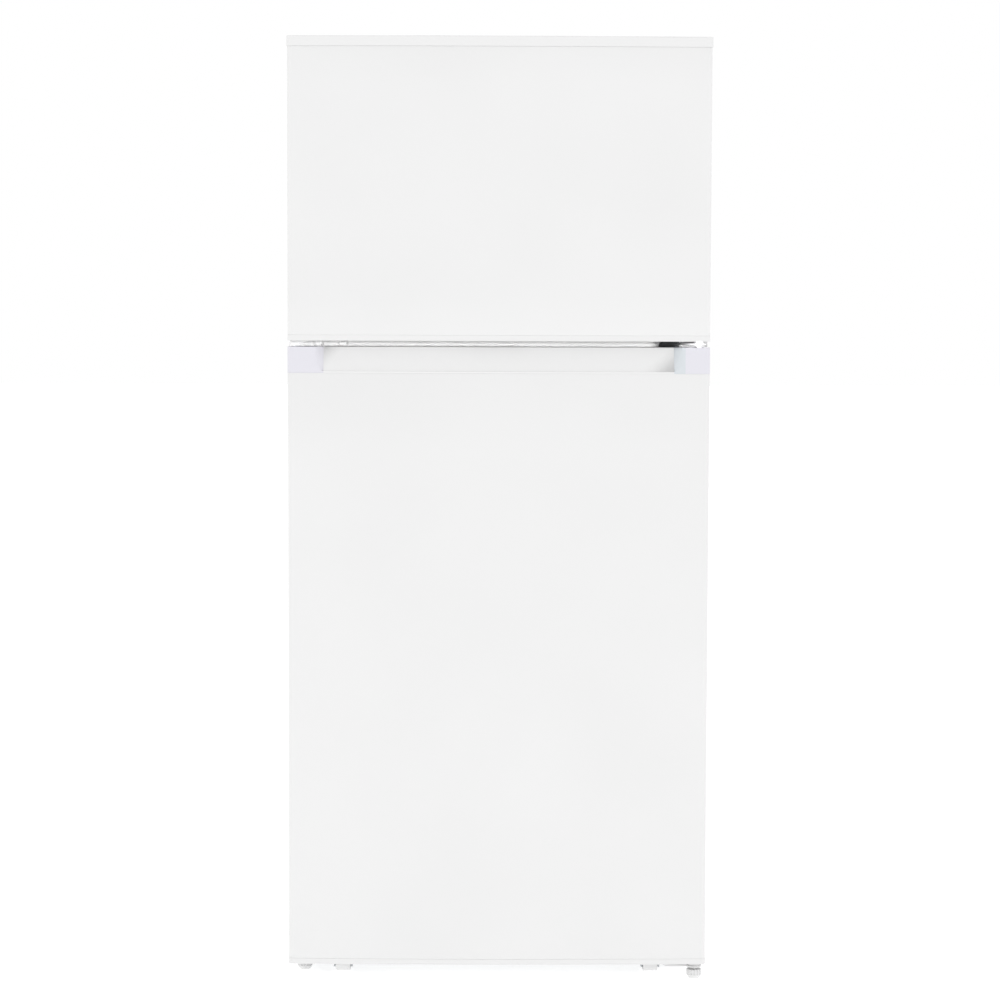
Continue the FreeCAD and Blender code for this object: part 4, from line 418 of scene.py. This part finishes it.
GALVANISED = galvanised("galvanised_sheet_steel", "B9BCBE", "A4A8AB", 14.0)
ZINC = galvanised("bright_zinc_plate", "C9CBCD", "BBBEC0", 2.5)
ALUMINIUM = drawn_metal("rolled_aluminium", "CFD1D3", "BABDC0", 0.34, (0.05, 1.0, 1.0))
COPPER = drawn_metal("drawn_copper_tube", "C87F5C", "A8603F", 0.32, (0.08, 1.0, 1.0))
FOAM = moulded_plastic("cut_polyurethane_foam", "E3D3A0", 0.9, 1.4, 0.4)
BLACK_ENAMEL = baked_enamel("black_compressor_enamel", "1B1B1C", "161617")
WIRE_COAT = moulded_plastic("white_dipped_wire_coat", "E9E9E7", 0.3, 2.0, 0.03)
print("made", len(bpy.data.materials), "materials")

# %% [markdown]
# ## From CAD part to finished part
#
# Every real part has edges that were rolled, moulded or ground, so they catch a thread of light.
# CAD edges are perfectly sharp. `soften` copies a CAD node's mesh, welds its loose triangles,
# joins flat neighbours into single faces and puts a small bevel on each real edge. Most parts only
# need that and a material.


# %% Finishing helpers
def finish_piece(obj, body, slot, material, *stands_for):
    """Link, colour and hand over a finished piece."""
    if not obj.data.materials:
        obj.data.materials.append(material)
    if not obj.users_collection:
        bpy.context.scene.collection.objects.link(obj)
    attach(obj, body)
    if stands_for:
        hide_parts(*stands_for)
    return obj


def smooth_by_angle(form, degrees):
    """Smooth shading, with a sharp edge wherever two faces meet at more than that angle."""
    for face in form.faces:
        face.smooth = True
    for edge in form.edges:
        edge.smooth = len(edge.link_faces) == 2 and edge.calc_face_angle(0.0) < math.radians(degrees)


def bevel_edges(form, edges, radius, segments):
    bmesh.ops.bevel(form, geom=list(edges), offset=radius, segments=segments, profile=0.5,
                    affect="EDGES", clamp_overlap=True, material=-1, miter_outer="ARC")


def object_from(form, name, degrees=35):
    """Close a bmesh into an object with outward normals and angle-limited smooth shading."""
    bmesh.ops.remove_doubles(form, verts=form.verts, dist=0.01 * MM)
    bmesh.ops.recalc_face_normals(form, faces=form.faces)
    smooth_by_angle(form, degrees)
    mesh = bpy.data.meshes.new(name)
    form.to_mesh(mesh)
    form.free()
    obj = bpy.data.objects.new(name, mesh)
    bpy.context.scene.collection.objects.link(obj)
    return obj


# A copy is kept when its area and volume are this close to the source's, and when no more than a
# small area strays from the source's skin or faces the other way on it.
SIZE_TOLERANCE = 0.03
ON_SKIN = 0.01 * MM
BACKWARDS = -0.3
SMALL_FAULT = 6 * MM * MM
WELD = 0.002 * MM
SLIVER = 0.001 * MM
FLAT = math.radians(0.5)


def rounded_copy(source, radius, degrees, joined):
    """A welded, bevelled and triangulated copy of a mesh; joined merges flat neighbours first."""
    form = bmesh.new()
    form.from_mesh(source)
    bmesh.ops.remove_doubles(form, verts=form.verts, dist=WELD)
    if joined:
        bmesh.ops.dissolve_limit(form, angle_limit=FLAT, verts=form.verts, edges=form.edges)
    sharp = [edge for edge in form.edges
             if len(edge.link_faces) == 2 and edge.calc_face_angle(0.0) > math.radians(degrees)]
    if radius:
        bevel_edges(form, sharp, radius, 2)
    bmesh.ops.triangulate(form, faces=form.faces)
    bmesh.ops.dissolve_degenerate(form, edges=form.edges, dist=SLIVER)
    return form


def skin_area(form):
    return sum(face.calc_area() for face in form.faces)


def misfilled_area(form, tree, reach):
    """Area of the faces that stray from the source's skin or lie on it the wrong way round."""
    area = 0.0
    for face in form.faces:
        _, normal, _, distance = tree.find_nearest(face.calc_center_median())
        strays = distance > reach
        backwards = distance < ON_SKIN and face.normal.dot(normal) < BACKWARDS
        if strays or backwards:
            area += face.calc_area()
    return area


def rounded_as_possible(source, plain, radius, degrees):
    """The first way of rounding that keeps to the source's skin, or the plain copy if none does."""
    tree = BVHTree.FromBMesh(plain)
    area, volume = skin_area(plain), plain.calc_volume()
    for joined in (True, False):
        for reach in (radius, 0.5 * radius):
            tried = rounded_copy(source, reach, degrees, joined)
            area_off = abs(skin_area(tried) / area - 1)
            volume_off = abs(tried.calc_volume() / volume - 1)
            if max(area_off, volume_off) > SIZE_TOLERANCE:
                continue
            reach = 1.2 * reach + ON_SKIN
            if misfilled_area(tried, tree, reach) - misfilled_area(plain, tree, reach) < SMALL_FAULT:
                return tried
    return plain


LEFT_SHARP = []


def soften(node, material, slot, radius_mm=0.5, degrees=40):
    """A rounded copy of a CAD node that stands in its place.

    Flat faces with windows in them don't always fill well once their edges have moved. Each copy
    is measured against its source, by area, by volume and face by face, and the next simpler way
    is used where they differ.
    """
    source = frame["nodes"][node]
    plain = rounded_copy(source.data, 0.0, degrees, False)
    chosen = rounded_as_possible(source.data, plain, radius_mm * MM, degrees)
    if chosen is plain:
        LEFT_SHARP.append(node)
    smooth_by_angle(chosen, degrees)
    mesh = bpy.data.meshes.new(node + "_finished")
    chosen.to_mesh(mesh)
    obj = bpy.data.objects.new(node + "_finished", mesh)
    shading = obj.modifiers.new("flat_faces_stay_flat", "WEIGHTED_NORMAL")
    shading.keep_sharp = True
    return finish_piece(obj, source["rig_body"], slot, material, node)


def paint_node(node, material):
    """Give a CAD node that is shown as it is its finish."""
    mesh = frame["nodes"][node].data
    mesh.materials.clear()
    mesh.materials.append(material)


def block(form, low, high):
    """Add a box between two corners to a bmesh."""
    size = Vector(high) - Vector(low)
    middle = (Vector(high) + Vector(low)) / 2
    matrix = Matrix.Translation(middle) @ Matrix.Diagonal((*size, 1.0))
    bmesh.ops.create_cube(form, size=1.0, matrix=matrix)


# %% [markdown]
# ## The bowed doors
#
# Each door is one steel sheet, bent round the sides and bowed a few millimetres in the middle.
# The bow matters: it is what makes a white door shade slowly from side to side. The front is a
# fine strip of faces set on an arc worked out from the CAD door's width and crown, with both
# upright edges rolled to an 8 mm radius. The sheet returns a little way onto the door's back, and
# the top and bottom rims are hemmed, so they get a small round of their own.

# %% Door curve
EDGE_RADIUS = 8.0 * MM
CROWN = 9.0 * MM
DOOR_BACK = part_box("fridge_door_skin")[1].y
CORNER_STEPS = 8
FRONT_STEPS = 48
HEM = 0.6 * MM
HEM_STEPS = 4
WALL_STEPS = 8
# Hems turn inwards from lines that fan out from a point 30 mm before the back, flattened sideways.
HEM_AIM = DOOR_BACK + 30.0 * MM
SIDE_PULL = 0.1
BACK_LIP = 14.0 * MM
SHEET_THICKNESS = 0.8 * MM


def door_path(half, crest, back):
    """The door's outline in plan from its back left edge round the front to its back right edge."""
    big = (half ** 2 + CROWN ** 2) / (2 * CROWN)
    centre_y = crest + big

    def front_y(x):
        return centre_y - math.sqrt(big ** 2 - x ** 2)

    corner_x = half - EDGE_RADIUS
    points = [Vector((-half, back, 0.0)), Vector((-half, crest + CROWN + EDGE_RADIUS * 1.05, 0.0))]
    for step in range(CORNER_STEPS + 1):
        angle = math.pi / 2 * step / CORNER_STEPS
        x = -half + EDGE_RADIUS * (1 - math.cos(angle))
        y = front_y(-corner_x) + EDGE_RADIUS * (1 - math.sin(angle))
        points.append(Vector((x, y, 0.0)))
    left_side = list(points)
    for step in range(1, FRONT_STEPS):
        x = -corner_x + 2 * corner_x * step / FRONT_STEPS
        points.append(Vector((x, front_y(x), 0.0)))
    points += [Vector((-p.x, p.y, 0.0)) for p in reversed(left_side)]
    return points


def swept_wall(form, points, z_values):
    """Extrude an open outline upwards through each height."""
    row = [form.verts.new((p.x, p.y, z_values[0])) for p in points]
    edges = [form.edges.new((a, b)) for a, b in zip(row, row[1:])]
    for low, high in zip(z_values, z_values[1:]):
        made = bmesh.ops.extrude_edge_only(form, edges=edges)["geom"]
        verts = [item for item in made if isinstance(item, bmesh.types.BMVert)]
        edges = [item for item in made if isinstance(item, bmesh.types.BMEdge)
                 and abs(item.verts[0].co.z - item.verts[1].co.z) < 1e-7]
        bmesh.ops.translate(form, verts=verts, vec=(0, 0, high - low))


def hemmed_skin(node, name):
    """The painted sheet of one door: bowed front, rolled sides, returns on the back and hems."""
    low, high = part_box(node)
    half = (high.x - low.x) / 2
    back_left = Vector((-half + BACK_LIP, high.y, 0))
    back_right = Vector((half - BACK_LIP, high.y, 0))
    points = [back_left] + door_path(half, low.y, high.y) + [back_right]
    rise = [HEM * (1 - math.cos(math.pi / 2 * step / HEM_STEPS)) for step in range(HEM_STEPS + 1)]
    heights = [low.z + height for height in rise]
    heights += [low.z + (high.z - low.z) * step / WALL_STEPS for step in range(1, WALL_STEPS)]
    heights += [high.z - height for height in reversed(rise)]
    form = bmesh.new()
    swept_wall(form, points, heights)
    for vert in form.verts:
        from_end = min(vert.co.z - low.z, high.z - vert.co.z)
        if from_end < HEM:
            turn = HEM - math.sqrt(max(0.0, HEM ** 2 - (HEM - from_end) ** 2))
            out = Vector((SIDE_PULL * vert.co.x, vert.co.y - HEM_AIM, 0)).normalized()
            vert.co -= out * turn
    obj = object_from(form, name, 50)
    wall = obj.modifiers.new("sheet", "SOLIDIFY")
    wall.thickness = SHEET_THICKNESS
    wall.offset = -1.0
    return finish_piece(obj, frame["nodes"][node]["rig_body"], "painted_sheet", ENAMEL, node)


hemmed_skin("freezer_door_skin", "freezer_door_sheet")
fridge_sheet = hemmed_skin("fridge_door_skin", "fridge_door_sheet")
print("door sheets have", len(fridge_sheet.data.polygons), "faces each")

# %% [markdown]
# ## The door seals
#
# A fridge seal is one soft vinyl extrusion, welded into a ring at its corners. Its section has a
# foot that locks into the door, a bellows that lets it stretch, and a flat tube that holds the
# magnet against the cabinet. That is exactly how it is made here: one closed section is extruded
# along each side and spun round each corner, and the ring closes on itself.

# %% Seal section and ring
# Each pair is across the seal from its outer edge, then out from the door's back, as shares of the
# seal's width and depth.
SEAL_SECTION = ((0.18, 0.00), (0.82, 0.00), (0.86, 0.10), (0.72, 0.24), (0.88, 0.42), (0.74, 0.56),
                (0.95, 0.63), (0.99, 0.76), (0.96, 0.94), (0.90, 1.00), (0.10, 1.00), (0.04, 0.94),
                (0.01, 0.76), (0.05, 0.63), (0.26, 0.56), (0.12, 0.42), (0.28, 0.24), (0.14, 0.10))
SEAL_WIDTH = 18.0 * MM
SEAL_CORNER = 24.0 * MM
CORNER_TURNS = 6


def seal_ring(node, name):
    """A closed section extruded along each side of the ring and spun round each corner."""
    low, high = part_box(node)
    depth = high.y - low.y
    form = bmesh.new()
    left, right = low.x + SEAL_CORNER, high.x - SEAL_CORNER
    floor_z, roof_z = low.z + SEAL_CORNER, high.z - SEAL_CORNER
    width = high.x - low.x - 2 * SEAL_CORNER
    height = high.z - low.z - 2 * SEAL_CORNER
    loop = [form.verts.new((left, low.y + out * depth, low.z + across * SEAL_WIDTH))
            for across, out in SEAL_SECTION]
    edges = [form.edges.new((a, b)) for a, b in zip(loop, loop[1:] + loop[:1])]
    runs = (((width, 0, 0), (right, 0, floor_z)), ((0, 0, height), (right, 0, roof_z)),
            ((-width, 0, 0), (left, 0, roof_z)), ((0, 0, -height), (left, 0, floor_z)))
    for run, corner in runs:
        made = bmesh.ops.extrude_edge_only(form, edges=edges)["geom"]
        moved = [item for item in made if isinstance(item, bmesh.types.BMVert)]
        bmesh.ops.translate(form, verts=moved, vec=run)
        ends = [item for item in made if isinstance(item, bmesh.types.BMEdge)
                and item.verts[0] in moved and item.verts[1] in moved]
        turned = bmesh.ops.spin(form, geom=ends, cent=corner, axis=(0, -1, 0), dvec=(0, 0, 0),
                                angle=math.radians(90), steps=CORNER_TURNS, use_merge=False,
                                use_duplicate=False)
        edges = [item for item in turned["geom_last"] if isinstance(item, bmesh.types.BMEdge)]
    ring = object_from(form, name, 60)
    return finish_piece(ring, frame["nodes"][node]["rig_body"], "seal_vinyl", VINYL, node)


freezer_seal = seal_ring("freezer_door_gasket", "freezer_door_seal")
seal_ring("fridge_door_gasket", "fridge_door_seal")
print("seals have", len(freezer_seal.data.polygons), "faces each")

# %% [markdown]
# ## The back panel
#
# The back is one thin galvanised sheet. A flat sheet that size would drum, so shallow fields are
# pressed into it. Each field is an inset of the back face, pushed in a little and given a rounded
# shoulder, as the press tool leaves it.

# %% Back panel
# Known fault: this is deeper than the 1 mm sheet is thick, so the sheet's inner face covers the
# pressed fields and they render black from behind. A depth under 1 mm would clear it.
PRESSED = 1.2 * MM
FIELD_MARGIN = 46 * MM
SHOULDER = 3 * MM


def back_panel():
    """The back sheet, split into an upper and a lower half with one pressed field in each."""
    low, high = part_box("rear_panel")
    form = bmesh.new()
    block(form, low, high)
    split = low.z + 0.5 * (high.z - low.z)
    bmesh.ops.bisect_plane(form, geom=form.verts[:] + form.edges[:] + form.faces[:],
                           plane_co=(0, 0, split), plane_no=(0, 0, 1))
    fields = [face for face in form.faces if face.normal.y > 0.9]
    bmesh.ops.inset_individual(form, faces=fields, thickness=FIELD_MARGIN, depth=0.0)
    shoulders = bmesh.ops.inset_individual(form, faces=fields, thickness=SHOULDER, depth=0.0)
    for field in fields:
        bmesh.ops.translate(form, verts=field.verts, vec=(0, -PRESSED, 0))
    rims = [edge for face in fields for edge in face.edges]
    bevel_edges(form, rims, PRESSED, 3)
    print("back panel has", len(fields), "fields and", len(shoulders["faces"]), "shoulders")
    return object_from(form, "back_panel_sheet", 50)


finish_piece(back_panel(), "cabinet", "galvanised_steel", GALVANISED, "rear_panel")

# %% [markdown]
# ## The temperature dial
#
# The knob's white housing carries four printed figures. They are text curves with a hair of
# thickness, turned into mesh so that they stay put, and set on an arc round the knob.

# %% Dial figures
DIAL_INK = moulded_plastic("grey_pad_printed_ink", "6E747A", 0.6)
KNOB_LOW, KNOB_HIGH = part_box("temperature_knob")
KNOB_CENTRE = (KNOB_LOW + KNOB_HIGH) / 2
HOUSING_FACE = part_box("control_housing")[0].y
FIGURE_SIZE = 6.0 * MM
INK_THICKNESS = 0.05 * MM
DIAL_RADIUS = (KNOB_HIGH.x - KNOB_LOW.x) / 2 + 7.0 * MM


def dial_figure(text, angle_degrees):
    """One printed figure, at an angle clockwise from the top of the knob."""
    name = "dial_figure_" + text
    curve = bpy.data.curves.new(name, "FONT")
    curve.body = text
    curve.size = FIGURE_SIZE
    curve.extrude = INK_THICKNESS
    curve.align_x = "CENTER"
    curve.align_y = "CENTER"
    carrier = bpy.data.objects.new("dial_carrier", curve)
    mesh = bpy.data.meshes.new_from_object(carrier)
    bpy.data.objects.remove(carrier)
    angle = math.radians(angle_degrees)
    x = KNOB_CENTRE.x + DIAL_RADIUS * math.sin(angle)
    z = KNOB_CENTRE.z + DIAL_RADIUS * math.cos(angle)
    mesh.transform(Matrix.Translation((x, HOUSING_FACE, z)) @ Matrix.Rotation(math.radians(90), 4, "X"))
    mesh.name = name
    finish_piece(bpy.data.objects.new(name, mesh), "cabinet", "control_knob", DIAL_INK)


for text, angle in (("1", -112), ("2", -62), ("3", 62), ("4", 112)):
    dial_figure(text, angle)
print("dial radius", round(DIAL_RADIUS / MM, 1), "mm")

# %% [markdown]
# ## Everything else, softened
#
# Most nodes keep their CAD shape with rolled edges. A table pairs each node with its finish, its
# material slot and the radius in millimetres that its process leaves: up to 0.8 on a moulding and
# up to 0.45 on pressed sheet. A radius of 0 leaves the CAD edges as they are.

# %% Softened parts
SOFTENED = (
    ("cabinet_wrap", CABINET_ENAMEL, "painted_sheet", 0.45),
    ("freezer_door_top_cap", CAP_PLASTIC, "white_cap", 0.5),
    ("freezer_door_bottom_cap", CAP_PLASTIC, "white_cap", 0.8),
    ("fridge_door_bottom_cap", CAP_PLASTIC, "white_cap", 0.8),
    ("top_hinge_cover", CAP_PLASTIC, "white_cap", 0.4),
    ("hole_plugs", CAP_PLASTIC, "white_cap", 0.2),
    ("door_stop", BLACK_PLASTIC, "dark_plastic", 0.5),
    ("freezer_liner", LINER_SHEET, "white_liner", 0.0),
    ("fridge_liner", LINER_SHEET, "white_liner", 0.0),
    ("freezer_door_liner", LINER_SHEET, "white_liner", 0.7),
    ("fridge_door_liner", LINER_SHEET, "white_liner", 0.7),
    ("mullion_rail", CABINET_ENAMEL, "galvanised_steel", 0.3),
    ("top_hinge", ZINC, "zinc_steel", 0.3),
    ("centre_hinge", CABINET_ENAMEL, "painted_sheet", 0.3),
    ("bottom_hinge", CABINET_ENAMEL, "painted_sheet", 0.4),
    ("hinge_screws", ZINC, "zinc_steel", 0.15),
    ("roller_brackets", GALVANISED, "galvanised_steel", 0.25),
    ("base_deck", GALVANISED, "galvanised_steel", 0.3),
    ("machine_bay_cover", GALVANISED, "galvanised_steel", 0.2),
    ("shelf_frames", SHELF_PLASTIC, "control_plastic", 0.8),
    ("shelf_glasses", FLOAT_GLASS, "shelf_glass", 0.5),
    ("crisper_drawer_left", CLEAR_TRAY, "clear_plastic", 0.6),
    ("crisper_drawer_right", CLEAR_TRAY, "clear_plastic", 0.6),
    ("fridge_bin_bottom", CLEAR_TRAY, "clear_plastic", 0.8),
    ("fridge_bin_middle", CLEAR_TRAY, "clear_plastic", 0.8),
    ("fridge_bin_top", CLEAR_TRAY, "clear_plastic", 0.8),
    ("freezer_bin_lower", CLEAR_TRAY, "clear_plastic", 0.8),
    ("freezer_bin_upper", CLEAR_TRAY, "clear_plastic", 0.8),
    ("control_housing", SHELF_PLASTIC, "control_plastic", 0.6),
    ("fridge_controls", BLACK_PLASTIC, "control_knob", 0.4),
    ("temperature_knob", KNOB_PLASTIC, "control_knob", 0.4),
    ("lamp_and_lens", FROSTED, "shelf_glass", 0.4),
    ("light_switch_plunger", KNOB_PLASTIC, "control_knob", 0.0),
    ("evaporator_cover", LINER_SHEET, "white_liner", 0.5),
    ("freezer_air_slider", KNOB_PLASTIC, "control_knob", 0.5),
    ("fan_motors", BLACK_PLASTIC, "dark_plastic", 0.3),
    ("evaporator_fan", BLACK_PLASTIC, "dark_plastic", 0.2),
    ("condenser_fan", BLACK_PLASTIC, "dark_plastic", 0.2),
    ("compressor_mounts", BLACK_PLASTIC, "dark_plastic", 0.4),
    ("drain_pan", SHELF_PLASTIC, "control_plastic", 0.6),
    ("mains_gland", BLACK_PLASTIC, "gland_plastic", 0.3),
    ("levelling_foot_left", NYLON, "foot_plastic", 0.3),
    ("levelling_foot_right", NYLON, "foot_plastic", 0.3),
    ("front_roller_left", NYLON, "wheel_plastic", 0.3),
    ("front_roller_right", NYLON, "wheel_plastic", 0.3),
    ("rear_roller_left", NYLON, "wheel_plastic", 0.3),
    ("rear_roller_right", NYLON, "wheel_plastic", 0.3),
)
for node, material, slot_name, radius in SOFTENED:
    soften(node, material, slot_name, radius)
print("softened", len(SOFTENED), "nodes")

# %% [markdown]
# The handle band has a scoop along its middle. The softened copy is cut across at the ends of the
# scoop and on the hinge-side slope, and each face takes one of three colours. The two ends beyond
# the scoop, which carry its slopes, take a darker lilac white that is a painted reflection. The
# front of the hinge-side slope takes a darker blue-grey that is painted shade with a cool painted
# reflection.

# %% Handle band
SCOOP_END = 310.0 * MM
SLOPE_END = 330.0 * MM
# Faces of the hinge-side slope in front of this line take the painted shade.
PAINTED_SHADE_BACK = DOOR_BACK - 45 * MM

band = soften("fridge_door_top_cap", BAND_PLASTIC, "handle_band", 0.8)
band_form = bmesh.new()
band_form.from_mesh(band.data)
for joint in (-SCOOP_END, SCOOP_END, SLOPE_END):
    bmesh.ops.bisect_plane(band_form, geom=band_form.verts[:] + band_form.edges[:] + band_form.faces[:],
                           plane_co=(joint, 0, 0), plane_no=(1, 0, 0))
for face in band_form.faces:
    middle = face.calc_center_median()
    # The front faces of the hinge-side slope take the painted shade, and the ends take the painted
    # reflection.
    in_painted_shade = SCOOP_END < middle.x < SLOPE_END and middle.y < PAINTED_SHADE_BACK
    face.material_index = 2 if in_painted_shade else int(abs(middle.x) > SCOOP_END)
band_form.to_mesh(band.data)
band_form.free()
# Slot 1 is the painted reflection on the band's ends, slot 2 the painted shade on the hinge-side slope.
band.data.materials.append(BAND_END_PAINTED_REFLECTION)
band.data.materials.append(BAND_SLOPE_PAINTED_SHADE)
print("band has", len(band.data.polygons), "faces")

# %% [markdown]
# ## Parts that only need a finish
#
# Foam, wire, fins, tubes and the compressor's pot have no sharp edges that show, so their CAD
# meshes stay as they are and only take a material.

# %% Painted parts
PAINTED = (
    ("cabinet_insulation", FOAM), ("freezer_door_insulation", FOAM), ("fridge_door_insulation", FOAM),
    ("freezer_shelf", WIRE_COAT), ("evaporator", ALUMINIUM), ("compressor", BLACK_ENAMEL),
    ("condenser", COPPER),
)
for node, material in PAINTED:
    paint_node(node, material)
print("painted", len(PAINTED), "nodes")
print("left with sharp edges:", LEFT_SHARP)
